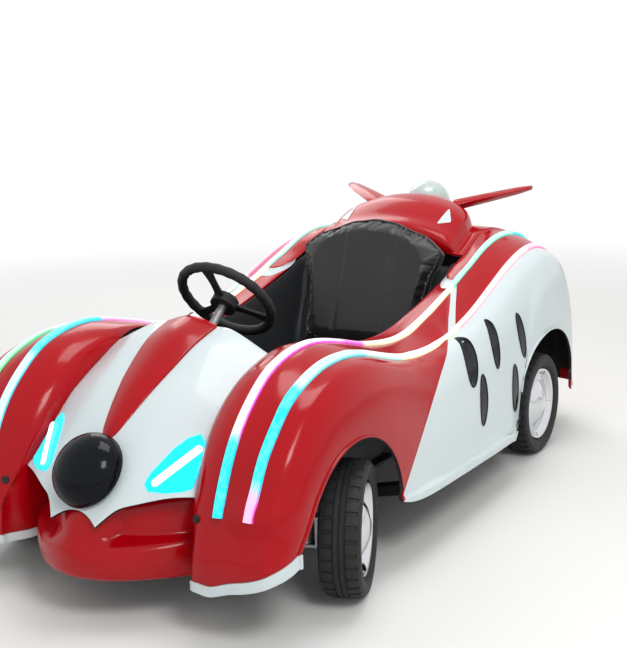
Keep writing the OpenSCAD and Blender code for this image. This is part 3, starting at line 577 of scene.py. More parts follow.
panels = (  # CAD node, name of the piece, finish, slot, kind of hollow behind it
    ("bonnet", "bonnet_moulding", paintWhite, "white_paint", "bonnet"),
    ("bonnet_ridge", "bonnet_teardrop", paintRed, "red_paint", None),
    ("front_valance", "chin_moulding", paintRed, "red_paint", "chin"),
    ("fender_left", "front_wing_left", paintRed, "red_paint", "side"),
    ("fender_right", "front_wing_right", paintRed, "red_paint", "side"),
    ("quarter_left", "rear_side_left", paintWhite, "white_paint", "side"),
    ("quarter_right", "rear_side_right", paintWhite, "white_paint", "side"),
    ("shoulder_left", "rear_shoulder_left", paintRed, "red_paint", "side"),
    ("shoulder_right", "rear_shoulder_right", paintRed, "red_paint", "side"),
    ("belt_bands", "belt_band_pair", paintWhite, "white_paint", "side"),
    ("fender_trims", "wing_trim_pair", paintWhite, "white_paint", None),
    ("rear_deck", "tail_moulding", paintRed, "red_paint", "tail"),
    ("cockpit_tub", "cockpit_moulding", tubAbs, "tub_plastic", None),
    ("dashboard", "dash_moulding", blackAbs, "black_gloss", None),
    ("nose_cap", "nose_ball", blackAbs, "black_gloss", None),
)


# the foot of the wings' skirts runs straight past its one low point
skirtFoot = {"outMm": (400, 420), "aheadMm": 930, "underMm": 165, "raiseMm": 6}


def evenFoot(obj):
    low, high = skirtFoot["outMm"]
    for vertex in obj.data.vertices:
        x, y, z = (c / mm for c in vertex.co)
        if low < abs(y) < high and z < skirtFoot["underMm"] and x > skirtFoot["aheadMm"]:
            vertex.co.z += skirtFoot["raiseMm"] * mm


# the cut for the nose in the chin is worn soft
softCut = {"besideMm": 88, "fromMm": 232, "rounds": 10}


def softenCut(obj):
    editStart(obj, "VERT")
    bpy.ops.mesh.select_all(action="DESELECT")
    editEnd()
    for vertex in obj.data.vertices:
        beside, up = abs(vertex.co.y) / mm, vertex.co.z / mm
        vertex.select = beside < softCut["besideMm"] and up > softCut["fromMm"]
    bpy.ops.object.mode_set(mode="EDIT")
    bpy.ops.mesh.vertices_smooth(factor=0.5, repeat=softCut["rounds"])
    editEnd()


# the chin is drawn back between the bonnet's edge and the lower lip, beside an upright keel
chinLook = {"keelMm": (66, 84), "deepMm": 24, "highMm": (172, 196, 268, 300)}


def riseOver(value, low, high):
    share = min(max((value - low) / (high - low), 0), 1)
    return share * share * (3 - 2 * share)


def shapeChin(obj):
    foot, ledge, eaves, top = (v * mm for v in chinLook["highMm"])
    for vertex in obj.data.vertices:
        beside = riseOver(abs(vertex.co.y), *(v * mm for v in chinLook["keelMm"]))
        high = riseOver(vertex.co.z, foot, ledge) * (1 - riseOver(vertex.co.z, eaves, top))
        vertex.co.x -= chinLook["deepMm"] * mm * beside * high


panelPieces = {}
for node, name, finish, slot, kind in panels:
    obj = panelCopy(node, name)
    if kind:
        coatBackAndShade(obj, finish, backCoatAndShade, hollows[kind])
    if node.startswith("fender"):
        evenFoot(obj)
    drawThrough(obj, 1 if node == "nose_cap" else panelLook["levels"])
    if node == "front_valance":
        softenCut(obj)
        shapeChin(obj)
    roundEdges(obj, panelLook["edgeMm"], panelLook["edgeDeg"])
    panelPieces[node] = finishPiece(obj, name, None if kind else finish, (node,))

# the lowest corner of the tail is red
tailTip = {"levelMm": -70, "slope": 0.25, "behindMm": -850}   # height = level - slope * x
for node in ("quarter_left", "quarter_right"):
    obj = panelPieces[node]
    obj.data.materials.append(paintRed)
    editStart(obj)
    bpy.ops.mesh.bisect(plane_co=(0, 0, tailTip["levelMm"] * mm), plane_no=(tailTip["slope"], 0, 1))
    editEnd()
    for face in obj.data.polygons:
        under = face.center.z + tailTip["slope"] * face.center.x < tailTip["levelMm"] * mm
        if under and face.center.x < tailTip["behindMm"] * mm:
            face.material_index = 2
print("body panels made")


# light strips: one smooth tube for each of the four, each with its own runs of colour
stripLook = {"crestMiddle": 0.37, "edgeMm": 2.0, "edgeSteps": 3, "sideTopMm": 2.5,
             "coreFromMm": 5.5, "widerMm": 4.0, "tallMm": 8.0, "levels": 2}
sideNodes = ("fender_left", "fender_right", "quarter_left", "quarter_right",
             "shoulder_left", "shoulder_right", "belt_bands")
bodySides = surfaceOf(*(panelPieces[node] for node in sideNodes))
for name, tube in stripTubes.items():
    obj = panelCopy("light_strips", name)
    side = 1 if "left" in name else -1
    inner = "inner" in name
    editStart(obj)
    chooseFaces(obj, lambda c, n: c.y * side < 0
                or (abs(c.y) < stripLook["crestMiddle"]) != inner)
    bpy.ops.mesh.delete(type="FACE")
    turnOutward()
    bpy.ops.transform.shrink_fatten(value=stripLook["widerMm"] * mm)
    editEnd()
    for vertex in obj.data.vertices:
        under, outward, _, over = bodySides.find_nearest(vertex.co)
        if over > stripLook["tallMm"] * mm and outward.dot(vertex.co - under) > 0:
            vertex.co = under + outward * stripLook["tallMm"] * mm
    drawThrough(obj, stripLook["levels"])
    roundEdges(obj, stripLook["edgeMm"], panelLook["edgeDeg"], stripLook["edgeSteps"])
    core = obj.data.attributes.new("core", "FLOAT", "POINT")
    rise = stripLook["coreFromMm"] - stripLook["sideTopMm"]
    for vertex in obj.data.vertices:
        over = bodySides.find_nearest(vertex.co)[3] / mm - stripLook["sideTopMm"]
        core.data[vertex.index].value = min(max(over / rise, 0), 1)
    stands = ("light_strips",) if name == "strip_left_inner" else ()
    finishPiece(obj, name, tube, stands, 50)
print("light strips made")


# headlamps: a wedge-shaped lens laid on the bonnet, with a white light bar slanting across it;
# places are ahead of the front axle, out and up
lampLook = {"outline": ((293, 148), (289, 137), (274, 139), (252, 149), (217, 164), (187, 182),
                        (168, 201), (174, 215), (210, 226), (244, 228), (260, 213), (279, 184)),
            "tallMm": 6.0, "cutMm": 12, "edgeMm": 1.8, "aboveMm": 500, "fromMm": 300,
            "barFrontMm": (277, 157, 309), "barRearMm": (188, 209, 364), "barWideMm": 17,
            "barTallMm": 3.5, "barCuts": 10, "barEdgeMm": 1.4, "barGapMm": 0.3, "roundSteps": 6,
            "barFaces": (0.64, 0.42, 0.65)}
bonnetTop = surfaceOf(panelPieces["bonnet"])


# cuts a flat outline across every stepMm, so that it can follow a surface
def cutAcross(obj, stepMm, normals):
    reach = int(max(obj.dimensions) / mm / stepMm)
    for normal in normals:
        for k in range(-reach, reach + 1):
            selectAll()
            middle = sum((v.co for v in obj.data.vertices), Vector()) / len(obj.data.vertices)
            bpy.ops.mesh.bisect(plane_co=middle + Vector(normal) * k * stepMm * mm,
                                plane_no=normal)


# in edit mode: lifts a flat outline to its thickness
def thicken(tallMm):
    selectAll()
    extrudeUp(tallMm)
    turnOutward()
    editEnd()


def flatOutline(points):
    bpy.ops.mesh.primitive_circle_add(vertices=len(points), radius=1, fill_type="NGON")
    obj = made()
    for vertex, (x, y) in zip(obj.data.vertices, points):
        vertex.co = (x, y, 0)
    obj.data.update()
    return obj


def makeLens(side):
    points = [Vector(p) for p in lampLook["outline"]]
    middle = sum(points, Vector((0, 0))) / len(points)
    lens = flatOutline([((p.x - middle.x) * mm, side * (p.y - middle.y) * mm) for p in points])
    editStart(lens, "VERT")
    cutAcross(lens, lampLook["cutMm"], ((1, 0, 0), (0, 1, 0)))
    thicken(lampLook["tallMm"])
    roundEdges(lens, lampLook["edgeMm"], 60, 3)
    spot = Vector((frontAxleX + middle.x * mm, side * middle.y * mm, lampLook["aboveMm"] * mm))
    layOn(lens, bonnetTop, Matrix.Translation(spot), lampLook["fromMm"])
    return lens


def makeLightBar(side):
    front, rear = (Vector((frontAxleX + x * mm, side * y * mm, z * mm))
                   for x, y, z in (lampLook["barFrontMm"], lampLook["barRearMm"]))
    wide = lampLook["barWideMm"] * mm
    long = (front - rear).length + wide
    bar = flatOutline([(x * wide / 2, y * long / 2)
                       for x, y in ((-1, -1), (1, -1), (1, 1), (-1, 1))])
    editStart(bar, "VERT")
    bpy.ops.mesh.bevel(offset=0.49 * wide, segments=lampLook["roundSteps"], affect="VERTICES")
    editEnd()
    editStart(bar, "VERT")
    cutAcross(bar, long / mm / lampLook["barCuts"], ((0, 1, 0),))
    thicken(lampLook["barTallMm"])
    roundEdges(bar, lampLook["barEdgeMm"], 60, 3)
    for vertex in bar.data.vertices:
        vertex.co.z += (lampLook["tallMm"] + lampLook["barGapMm"]) * mm
    ahead, out, up = lampLook["barFaces"]
    layOn(bar, bonnetTop, planeAt((front + rear) / 2, Vector((ahead, side * out, up)),
                                  rear - front))
    return bar


for name, make, finish, stands in (
        ("headlamp_lenses", makeLens, lensCyan, ("headlamps",)),
        ("headlamp_bars", makeLightBar, barWhite, ())):
    finishPiece(joinAll([make(1), make(-1)], name), name, finish, stands, 50)
print("headlamps made")


# tail lamps and headrest fins keep their CAD outline, with soft edges
for node, name, finish, slot in (
        ("tail_lamps", "tail_lamp_lenses", lensRed, "tail_lens"),
        ("headrest_wings", "headrest_fins", paintRed, "red_paint")):
    obj = panelCopy(node, name)
    roundEdges(obj, 3.0, 40, 4)
    finishPiece(obj, name, finish, (node,), 60)
print("tail lamps and fins made")


# ovals in the sides: a raised rim round a shallow glossy dish that follows the smooth panel;
# all but the foremost of each side are slim and sit a little ahead of the CAD's
ovalLook = {"tallMm": 142, "wideMm": 66, "slimShare": 0.74, "slimAheadMm": 12, "riseMm": 3.0,
            "points": 64, "endMm": 4, "edgeMm": 0.8,
            "rings": ((0.93, 0), (0.88, -1.8), (0.72, 0), (0.54, 0), (0.36, 0), (0.18, 0))}
ventParts = looseParts("side_vents")


def middleOf(points):
    return sum(points, Vector()) / len(points)


def makeOval(part):
    side = 1 if part[0].y > 0 else -1
    foremost = max(middleOf(q).x for q in ventParts if q[0].y * side > 0)
    foot, top = (middleOf([p for p in part if abs(p.z - z) < ovalLook["endMm"] * mm])
                 for z in (min(p.z for p in part), max(p.z for p in part)))
    middle, along, wide = (foot + top) / 2, top - foot, ovalLook["wideMm"]
    if middleOf(part).x < foremost:
        wide *= ovalLook["slimShare"]
        middle.x += ovalLook["slimAheadMm"] * mm
    panel = surfaceOf(panelPieces["quarter_left" if side > 0 else "quarter_right"])
    outward = panel.ray_cast(middle + Vector((0, side * 0.1, 0)), Vector((0, -side, 0)))[1]
    bpy.ops.mesh.primitive_circle_add(vertices=ovalLook["points"], radius=1, fill_type="NGON")
    oval = made()
    oval.scale = (wide * mm / 2, ovalLook["tallMm"] * mm / 2, 1)
    bpy.ops.object.transform_apply(location=False, rotation=False, scale=True)
    editStart(oval)
    last = 1
    for share, lift in ((1, ovalLook["riseMm"]), *ovalLook["rings"]):
        extrudeUp(lift)
        if share != last:
            bpy.ops.transform.resize(value=(share / last, share / last, 1))
        last = share
    turnOutward()
    editEnd()
    roundEdges(oval, ovalLook["edgeMm"], 40)
    layOn(oval, panel, planeAt(middle, outward, along))
    return oval


finishPiece(joinAll([makeOval(part) for part in ventParts], "ovals"), "side_ovals", blackAbs,
            ("side_vents",), 30)
print("side ovals made")


# dome behind the headrest: a milky ball, cut flat at its foot
domeLook = {"segments": 64, "rings": 32}
low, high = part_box("headrest_dome")
domeR = (high.y - low.y) / 2
bpy.ops.mesh.primitive_uv_sphere_add(
    segments=domeLook["segments"], ring_count=domeLook["rings"], radius=domeR,
    location=((low.x + high.x) / 2, 0, high.z - domeR))
dome = made()
applyPlace(dome)
editStart(dome)
bpy.ops.mesh.bisect(plane_co=(0, 0, low.z), plane_no=(0, 0, 1), clear_inner=True, use_fill=True)
editEnd()
finishPiece(dome, "headrest_ball", domeMilk, ("headrest_dome",), 40)
print("dome made")


# small round rubber plug low on the inner front of each wing; its place is ahead of the front
# axle, out and up, and each step of its face is an inset and a rise
plugLook = {"placeMm": (292, 274, 256), "radiusMm": 9, "tallMm": 4, "edgeMm": 0.8,
            "steps": ((2.5, 0.8), (1.5, -1.6))}


# insets the faces that look up by each step, in width and height
def stepFace(obj, steps):
    editStart(obj)
    chooseFaces(obj, lambda c, n: n.z > 0.9)
    for wide, rise in steps:
        bpy.ops.mesh.inset(thickness=wide * mm, depth=rise * mm)
    editEnd()


def makePlug(side):
    ahead, out, up = (v * mm for v in plugLook["placeMm"])
    wing = surfaceOf(panelPieces["fender_left" if side > 0 else "fender_right"])
    spot, outward = wing.find_nearest(Vector((frontAxleX + ahead, side * out, up)))[:2]
    bpy.ops.mesh.primitive_cylinder_add(vertices=32, radius=plugLook["radiusMm"] * mm,
                                        depth=2 * plugLook["tallMm"] * mm)
    plug = made()
    stepFace(plug, plugLook["steps"])
    roundEdges(plug, plugLook["edgeMm"], 30)
    plug.matrix_world = planeAt(spot, outward, Vector((0, 0, 1)))
    applyPlace(plug)
    return plug


# pale three-cornered inlay on each shoulder of the headrest fairing
inlayLook = {"corners": ((-520, 158), (-548, 196), (-604, 166)), "tallMm": 2.2, "cuts": 5,
             "cornerMm": 7, "edgeMm": 0.8, "aboveMm": 900, "fromMm": 300}
tailTop = surfaceOf(panelPieces["rear_deck"])


def makeInlay(side):
    inlay = flatOutline([(x * mm, side * y * mm) for x, y in inlayLook["corners"]])
    editStart(inlay, "VERT")
    bpy.ops.mesh.bevel(offset=inlayLook["cornerMm"] * mm, segments=4, affect="VERTICES")
    front, rear = inlayLook["corners"][0][0], inlayLook["corners"][-1][0]
    for k in range(1, inlayLook["cuts"]):
        selectAll()
        cut = front + (rear - front) * k / inlayLook["cuts"]
        bpy.ops.mesh.bisect(plane_co=(cut * mm, 0, 0), plane_no=(1, 0, 0))
    thicken(inlayLook["tallMm"])
    roundEdges(inlay, inlayLook["edgeMm"], 60)
    layOn(inlay, tailTop, Matrix.Translation((0, 0, inlayLook["aboveMm"] * mm)),
          inlayLook["fromMm"])
    return inlay


for name, make, finish, slot in (
        ("wing_plugs", makePlug, gripRubber, "grip_rubber"),
        ("fairing_inlays", makeInlay, paintWhite, "white_paint")):
    finishPiece(joinAll([make(1), make(-1)], name), name, finish, (), 40)
print("plugs and inlays made")


# tyres: a round profile spun about the wheel's axis, with ribs and shoulder cuts
tyreLook = {"steps": 96, "grooveMm": 4.0, "grooveDeepMm": 4.0, "beadGapMm": 0.3,
            "wall": ((0, 12), (3, 7.5), (7, 4), (9, 2.2), (11, 3.2), (18, 0)),   # over the bead, in
            "shoulder": ((12, 1), (4.5, 7), (1.8, 15), (1.2, 22)),   # under the crown, in
            "cutDeepMm": 3.5, "cutInMm": 0.8, "outerGrooveMm": 13, "ribsDownMm": (0.8, 0.4),
            "footShare": 0.7, "edgeMm": 0.6,
            "cutRowMm": (8, 18, 5)}   # down from the crown, out from the middle, in from the wall


def tyreProfile(radius, half, bead):
    deep = radius - tyreLook["grooveDeepMm"] * mm
    wide = tyreLook["grooveMm"] * mm / 2
    foot = wide * tyreLook["footShare"]
    outer, inner = (radius - down * mm for down in tyreLook["ribsDownMm"])
    right = [(bead + out * mm, half - inward * mm) for out, inward in tyreLook["wall"]]
    right += [(radius - under * mm, half - inward * mm) for under, inward in tyreLook["shoulder"]]
    for y in (tyreLook["outerGrooveMm"] * mm, 0):
        right += [(outer, y + wide), (deep, y + foot)]
        if y:
            right += [(deep, y - foot), (inner, y - wide)]
    return right + [(r, -y) for r, y in reversed(right)]


def makeTyre():
    low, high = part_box("tyre_rear_left")
    radius, half = (high.z - low.z) / 2, (high.y - low.y) / 2
    rimLow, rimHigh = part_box("rim_rear_left")
    points = tyreProfile(radius, half, (rimHigh.z - rimLow.z) / 2 + tyreLook["beadGapMm"] * mm)
    bpy.ops.mesh.primitive_circle_add(vertices=len(points), radius=radius, fill_type="NOTHING")
    tyre = made()
    for vertex, (r, y) in zip(tyre.data.vertices, points):
        vertex.co = (0, y, r)
    editStart(tyre, "EDGE")
    bpy.ops.mesh.spin(steps=tyreLook["steps"], angle=2 * math.pi, center=(0, 0, 0), axis=(0, 1, 0))
    selectAll()
    bpy.ops.mesh.remove_doubles(threshold=panelLook["mergeMm"] * mm)
    turnOutward()
    bpy.ops.mesh.select_mode(type="FACE")
    under, out, inward = (v * mm for v in tyreLook["cutRowMm"])

    # cuts across the shoulders, one in every three steps, the two sides half a pitch apart
    def onCut(c, n):
        step = int(math.degrees(math.atan2(c.x, c.z)) % 360 / (360 / tyreLook["steps"]))
        reach = radius - under < math.hypot(c.x, c.z) and out < abs(c.y) < half - inward
        return reach and step % 3 == (0 if c.y > 0 else 1)
    chooseFaces(tyre, onCut)
    bpy.ops.mesh.inset(thickness=tyreLook["cutInMm"] * mm, depth=-tyreLook["cutDeepMm"] * mm)
    editEnd()
    roundEdges(tyre, tyreLook["edgeMm"], 40, 1)
    return tyre


tyreModel = makeTyre()
for corner, body in (("front_left", "wheel_fl"), ("front_right", "wheel_fr"),
                     ("rear_left", "wheel_rl"), ("rear_right", "wheel_rr")):
    tyre = copyOf(tyreModel, f"tyre_tread_{corner}")
    low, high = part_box(f"tyre_{corner}")
    axis = joints[f"spin_{corner}"]["axis"]
    tyre.matrix_world = (Matrix.Translation((low + high) / 2)
                         @ Matrix.Rotation(math.atan2(-axis[0], axis[1]), 4, "Z"))
    finishPiece(tyre, tyre.name, tyreRubber, (f"tyre_{corner}",), 30, body)
    disc = panelCopy(f"rim_{corner}", f"wheel_disc_{corner}")
    roundEdges(disc, 0.8, 30)
    finishPiece(disc, disc.name, wheelChrome, (f"rim_{corner}",), 40, body)
bpy.data.objects.remove(tyreModel)
print("tyres and wheel discs made")


# steering wheel: a padded rim with finger swells, three flat spokes and a boss
wheelLook = {"gripMm": 13, "swells": 24, "swellMm": 1.1, "turnedDeg": 30, "spokes": 3,
             "spokeMm": (28, 7), "spokeFromMm": 10, "spokeInMm": 12, "spokeLowMm": 5,
             "spokeCuts": 5, "waist": (1.15, 0.45), "dropMm": 8,
             "bossMm": (34, 26), "bossLowMm": 11, "bossSteps": ((7, 4), (3, -2), (2, 1.5))}


def makeRim(ringR, grip):
    bpy.ops.mesh.primitive_torus_add(major_radius=ringR, minor_radius=grip,
                                     major_segments=144, minor_segments=20)
    rim = made()
    for vertex in rim.data.vertices:
        around = math.atan2(vertex.co.y, vertex.co.x)
        ring = Vector((math.cos(around), math.sin(around), 0)) * ringR
        swell = wheelLook["swellMm"] * mm * (math.cos(around * wheelLook["swells"]) - 1) / 2
        vertex.co += (vertex.co - ring).normalized() * swell
    return rim


def makeSpoke(long, angle):
    wide, thick = (v * mm for v in wheelLook["spokeMm"])
    start = wheelLook["spokeFromMm"] * mm
    root, waist = wheelLook["waist"]
    bpy.ops.mesh.primitive_cube_add(size=1, scale=(long, wide, thick), location=(
        0.5 * long + start, 0, -wheelLook["spokeLowMm"] * mm))
    spoke = made()
    applyPlace(spoke)
    editStart(spoke)
    bpy.ops.mesh.subdivide(number_cuts=wheelLook["spokeCuts"])
    editEnd()
    for vertex in spoke.data.vertices:
        share = (vertex.co.x - start) / long
        vertex.co.y *= root - waist * math.sin(math.pi * share)
        vertex.co.z -= wheelLook["dropMm"] * mm * (1 - share) ** 2
    roundEdges(spoke, 1.6, 40, 3)
    spoke.matrix_world = Matrix.Rotation(angle, 4, "Z")
    return spoke


def makeBoss():
    radius, tall = (v * mm for v in wheelLook["bossMm"])
    bpy.ops.mesh.primitive_cylinder_add(vertices=64, radius=radius, depth=tall,
                                        location=(0, 0, -wheelLook["bossLowMm"] * mm))
    boss = made()
    stepFace(boss, wheelLook["bossSteps"])
    roundEdges(boss, 1.0, 35, 3)
    return boss


def makeSteeringWheel():
    turn = joints["steering_turn"]
    axis, pivot = Vector(turn["axis"]), Vector(turn["pos_m"])
    low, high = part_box("steering_wheel")
    reach = ((low + high) / 2 - pivot).dot(axis)
    grip = wheelLook["gripMm"] * mm
    ringR = (high.y - low.y) / 2 - grip
    long = ringR - wheelLook["spokeInMm"] * mm
    parts = [makeRim(ringR, grip), makeBoss()]
    parts += [makeSpoke(long, math.pi + 2 * math.pi * k / wheelLook["spokes"])
              for k in range(wheelLook["spokes"])]
    for part in parts:
        applyPlace(part)
    wheel = joinAll(parts, "steering_wheel_padded")
    wheel.matrix_world = (Matrix.Translation(pivot + axis * reach)
                          @ axis.to_track_quat("Z", "Y").to_matrix().to_4x4()
                          @ Matrix.Rotation(math.radians(wheelLook["turnedDeg"]), 4, "Z"))
    finishPiece(wheel, wheel.name, gripRubber, ("steering_wheel",), body="steering")


makeSteeringWheel()
print("steering wheel made")


# seat: padded vinyl, blown up by a short cloth simulation, then sewn channels, piping and stitches,
# whose pale thread is partly painted highlight
padLook = {"voxelMm": 5, "pressure": 4.0, "frames": 20, "pipeMm": 4.0, "channelMm": 11,
           "channelDeepMm": 4.5, "stitchMm": (6.0, 1.8, 1.4), "stitchStepMm": 11,
           "stitchInMm": 15, "stitchOverMm": 0.4, "rayFromM": 0.08}
backLean = math.radians(19)
pads = {  # CAD node: shrink of the start shape, cap of the swelling, where the channels run
    "seat_cushion": {"name": "seat_pad", "shrink": (0.955, 0.955, 0.86), "capMm": 14, "fill": 0.7,
                     "front": Vector((0, 0, 1)), "channelsMm": (-74, 74)},
    "seat_backrest": {"name": "backrest_pad", "shrink": (0.95, 0.955, 0.965), "capMm": 22,
                      "fill": 0.65, "front": Vector((math.cos(backLean), 0, math.sin(backLean))),
                      "channelsMm": (-84, 84)},
}


# lets the pad swell under a little pressure, at most capMm at any point
def blowUp(obj, capMm):
    start = [v.co.copy() for v in obj.data.vertices]
    cloth = obj.modifiers.new("padding", "CLOTH")
    cloth.settings.use_pressure = True
    cloth.settings.uniform_pressure_force = padLook["pressure"]
    cloth.settings.effector_weights.gravity = 0
    for k in range(1, padLook["frames"] + 1):
        scene.frame_set(k)
    pick(obj)
    bpy.ops.object.modifier_apply(modifier=cloth.name)
    for vertex, was in zip(obj.data.vertices, start):
        move = vertex.co - was
        if move.length > capMm * mm:
            vertex.co = was + move.normalized() * capMm * mm
    scene.frame_set(1)


def makePad(node, look):
    obj = mergedCopy(node, look["name"])
    low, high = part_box(node)
    middle = (low + high) / 2
    for vertex in obj.data.vertices:
        offset = vertex.co - middle
        vertex.co = middle + Vector(o * s for o, s in zip(offset, look["shrink"]))
    useModifier(obj, "REMESH", mode="VOXEL", voxel_size=padLook["voxelMm"] * mm, adaptivity=0)
    useModifier(obj, "SMOOTH", factor=0.5, iterations=14)
    blowUp(obj, look["capMm"])
    for vertex in obj.data.vertices:
        beside = min(abs(vertex.co.y / mm - y) for y in look["channelsMm"]) / padLook["channelMm"]
        facing = max(vertex.normal.dot(look["front"]), 0)
        vertex.co -= look["front"] * facing * padLook["channelDeepMm"] * mm * max(1 - beside, 0)
    useModifier(obj, "SMOOTH", factor=0.4, iterations=3)
    for vertex in obj.data.vertices:
        vertex.co = Vector(min(max(c, a), b) for c, a, b in zip(vertex.co, low, high))
    useModifier(obj, "SUBSURF", levels=1, render_levels=1)
    finishPiece(obj, look["name"], seatVinyl, (node,), 60)
    return obj


# the outline of the pad's front as a smooth loop of points lying on the pad, inMm inside its edge
def edgeLoop(node, look, pad, inMm, overMm):
    loop = mergedCopy(node, "loop")
    editStart(loop)
    chooseFaces(loop, lambda c, n: n.dot(look["front"]) > 0.97)
    bpy.ops.mesh.select_all(action="INVERT")
    bpy.ops.mesh.delete(type="FACE")
    selectAll()
    bpy.ops.mesh.dissolve_faces()
    bpy.ops.mesh.delete(type="ONLY_FACE")
    bpy.ops.mesh.select_mode(type="EDGE")
    selectAll()
    bpy.ops.mesh.subdivide(number_cuts=9)
    selectAll()
    bpy.ops.mesh.vertices_smooth(factor=0.5, repeat=20)
    editEnd()
    surface = surfaceOf(pad)
    middle = middleOf([v.co for v in loop.data.vertices])
    for vertex in loop.data.vertices:
        inner = vertex.co + (middle - vertex.co).normalized() * inMm * mm
        spot, normal = surface.ray_cast(inner + look["front"] * padLook["rayFromM"],
                                        -look["front"])[:2]
        if not inMm or spot is None:
            spot, normal = surface.find_nearest(inner)[:2]
        vertex.co = spot + normal * overMm * mm
    return loop


def makePiping(node, look, pad):
    pipe = edgeLoop(node, look, pad, 0, padLook["pipeMm"] * 0.2)
    editStart(pipe, "VERT")
    bpy.ops.mesh.vertices_smooth(factor=0.5, repeat=4)
    editEnd()
    pick(pipe)
    bpy.ops.object.convert(target="CURVE")
    pipe.data.bevel_depth = padLook["pipeMm"] * mm
    pipe.data.bevel_resolution = 3
    bpy.ops.object.convert(target="MESH")
    finishPiece(pipe, look["name"] + "_piping", seatVinyl, (), 60)


# the loop's points in their order along it
def walkRound(loop):
    links = {}
    for edge in loop.data.edges:
        a, b = edge.vertices
        links.setdefault(a, []).append(b)
        links.setdefault(b, []).append(a)
    order = [0, links[0][0]]
    while len(order) < len(links):
        order.append(next(k for k in links[order[-1]] if k != order[-2]))
    return [loop.data.vertices[k].co.copy() for k in order]


# the stitches' pale thread is partly painted highlight: it gives the row of bright marks along the
# backrest's edge
def makeStitches(node, look, pad):
    loop = edgeLoop(node, look, pad, padLook["stitchInMm"], padLook["stitchOverMm"])
    points = walkRound(loop)
    bpy.data.objects.remove(loop)
    long, wide, tall = (v * mm for v in padLook["stitchMm"])
    bpy.ops.mesh.primitive_cube_add(size=1, scale=(long, wide, tall))
    stitch = made()
    applyPlace(stitch)
    roundEdges(stitch, 0.6, 30, 1)
    stitches, gone = [], 0.0
    for here, after in zip(points, points[1:] + points[:1]):
        gone += (after - here).length / mm
        if gone >= padLook["stitchStepMm"]:
            gone = 0.0
            new = copyOf(stitch, "stitch")
            run = (after - here).normalized()
            across = look["front"].cross(run).normalized()
            new.matrix_world = (Matrix.Translation(here)
                                @ Matrix((run, across, run.cross(across))).transposed().to_4x4())
            stitches.append(new)
    bpy.data.objects.remove(stitch)
    finishPiece(joinAll(stitches, "stitches"), look["name"] + "_stitches", paleThreadAndHighlights,
                (), 40)


for node, look in pads.items():
    pad = makePad(node, look)
    makePiping(node, look, pad)
    makeStitches(node, look, pad)
    print("pad, piping and stitches made:", look["name"])


# camera at the photograph's place: measured from the front axle's middle on the floor
viewFrom = {"ahead": 2.071, "left": 1.636, "up": 1.110, "turnDeg": 31, "downDeg": 11.4,
            "rollDeg": 1.5, "focalPx": 1136.81, "framePx": 648, "sensorMm": 36}


def makeCamera():
    turn, down, roll = (math.radians(viewFrom[k]) for k in ("turnDeg", "downDeg", "rollDeg"))
    ahead = Vector((-math.cos(turn) * math.cos(down), -math.sin(turn) * math.cos(down),
                    -math.sin(down)))
    level = ahead.cross(Vector((0, 0, 1))).normalized()
    drop = ahead.cross(level)
    right = math.cos(roll) * level + math.sin(roll) * drop
    below = -math.sin(roll) * level + math.cos(roll) * drop
    data = bpy.data.cameras.new("photo_view")
    data.sensor_width = viewFrom["sensorMm"]
    data.lens = viewFrom["focalPx"] / viewFrom["framePx"] * viewFrom["sensorMm"]
    camera = bpy.data.objects.new("photo_view", data)
    scene.collection.objects.link(camera)
    turnTo = Matrix((right, -below, -ahead)).transposed().to_4x4()
    spot = Vector((frontAxleX + viewFrom["ahead"], viewFrom["left"], viewFrom["up"]))
    camera.matrix_world = Matrix.Translation(spot) @ turnTo
    scene.camera = camera


# plain studio: pale floor, three soft lamps, and a white background that lights nothing
studio = {"floor": ("#e6e6e4", "#ebebe9"), "worldLight": 0.66, "fadeFrom": 2.2, "fadeTo": 5.5,
          "lampsAim": (0, 0, 0.35), "lamps": (
              # name, place, size in metres, watts
              ("key", (2.2, 2.6, 3.2), 1.2, 62), ("fill", (-2.6, -2.4, 2.8), 2.0, 30),
              ("top", (-0.2, 0.4, 3.6), 1.6, 44))}


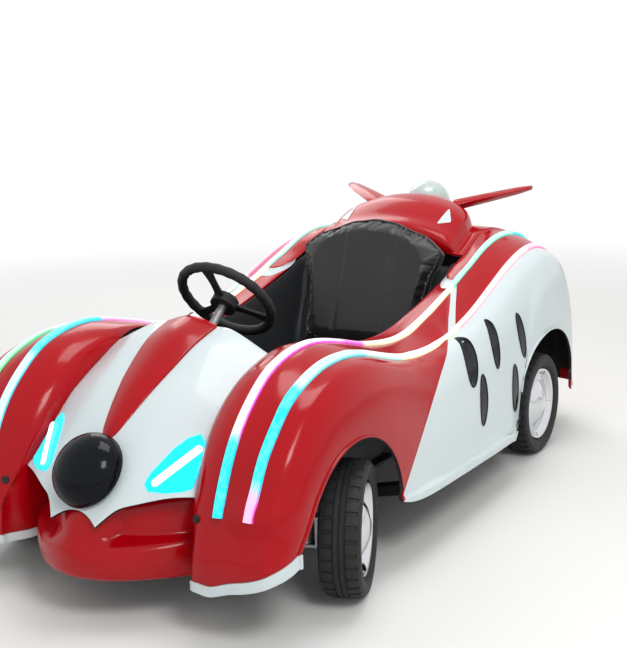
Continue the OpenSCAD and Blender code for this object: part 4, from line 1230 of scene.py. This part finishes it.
def makeStudio():
    bpy.ops.mesh.primitive_plane_add(size=40)
    floor = made()
    floor.name = "floor"
    mat, shader, place = newMaterial("pale matt floor")
    haze = noiseOf(place, 900, 3)
    setSockets(shader, {"Base Color": mixColour(haze, *studio["floor"]),
                              "Roughness": 0.75, "Specular IOR Level": 0.2})

    # far from the car the floor runs out into the white of the background
    tree = mat.node_tree
    far = addNode(tree, "ShaderNodeVectorMath", {"operation": "LENGTH"}, {0: place})
    fade = between(far.outputs["Value"], 0, 1, studio["fadeFrom"], studio["fadeTo"])
    white = addNode(tree, "ShaderNodeEmission", {"Color": (1, 1, 1, 1), "Strength": 1.0})
    output = next(n for n in tree.nodes if n.type == "OUTPUT_MATERIAL")
    ends = addNode(tree, "ShaderNodeMixShader",
                   links={0: fade, 1: shader.outputs[0], 2: white.outputs[0]})
    seen = addNode(tree, "ShaderNodeLightPath").outputs["Is Camera Ray"]
    shown = addNode(tree, "ShaderNodeMixShader",
                    links={0: seen, 1: shader.outputs[0], 2: ends.outputs[0]})
    tree.links.new(shown.outputs[0], output.inputs["Surface"])
    floor.data.materials.append(mat)
    for name, spot, size, watts in studio["lamps"]:
        data = bpy.data.lights.new(name, "AREA")
        data.size, data.energy = size, watts
        lamp = bpy.data.objects.new(name, data)
        lamp.location = spot
        aim = Vector(studio["lampsAim"]) - Vector(spot)
        lamp.rotation_euler = aim.to_track_quat("-Z", "Y").to_euler()
        scene.collection.objects.link(lamp)
    world = bpy.data.worlds.new("studio")
    scene.world = world
    world.use_nodes = True
    tree = world.node_tree
    tree.nodes.clear()
    path = addNode(tree, "ShaderNodeLightPath").outputs
    seen, glossy, through = (path[f"Is {ray} Ray"] for ray in ("Camera", "Glossy", "Transmission"))
    shows = mathOf("MAXIMUM", mathOf("MAXIMUM", seen, glossy), through)
    light, shown = (addNode(tree, "ShaderNodeBackground",
                            {"Color": (1, 1, 1, 1), "Strength": strength}).outputs[0]
                    for strength in (studio["worldLight"], 1.0))
    mixed = addNode(tree, "ShaderNodeMixShader", links={0: shows, 1: light, 2: shown})
    addNode(tree, "ShaderNodeOutputWorld", links={0: mixed.outputs[0]})


makeCamera()
makeStudio()
scene.view_settings.view_transform = "Standard"
print("camera and studio made")
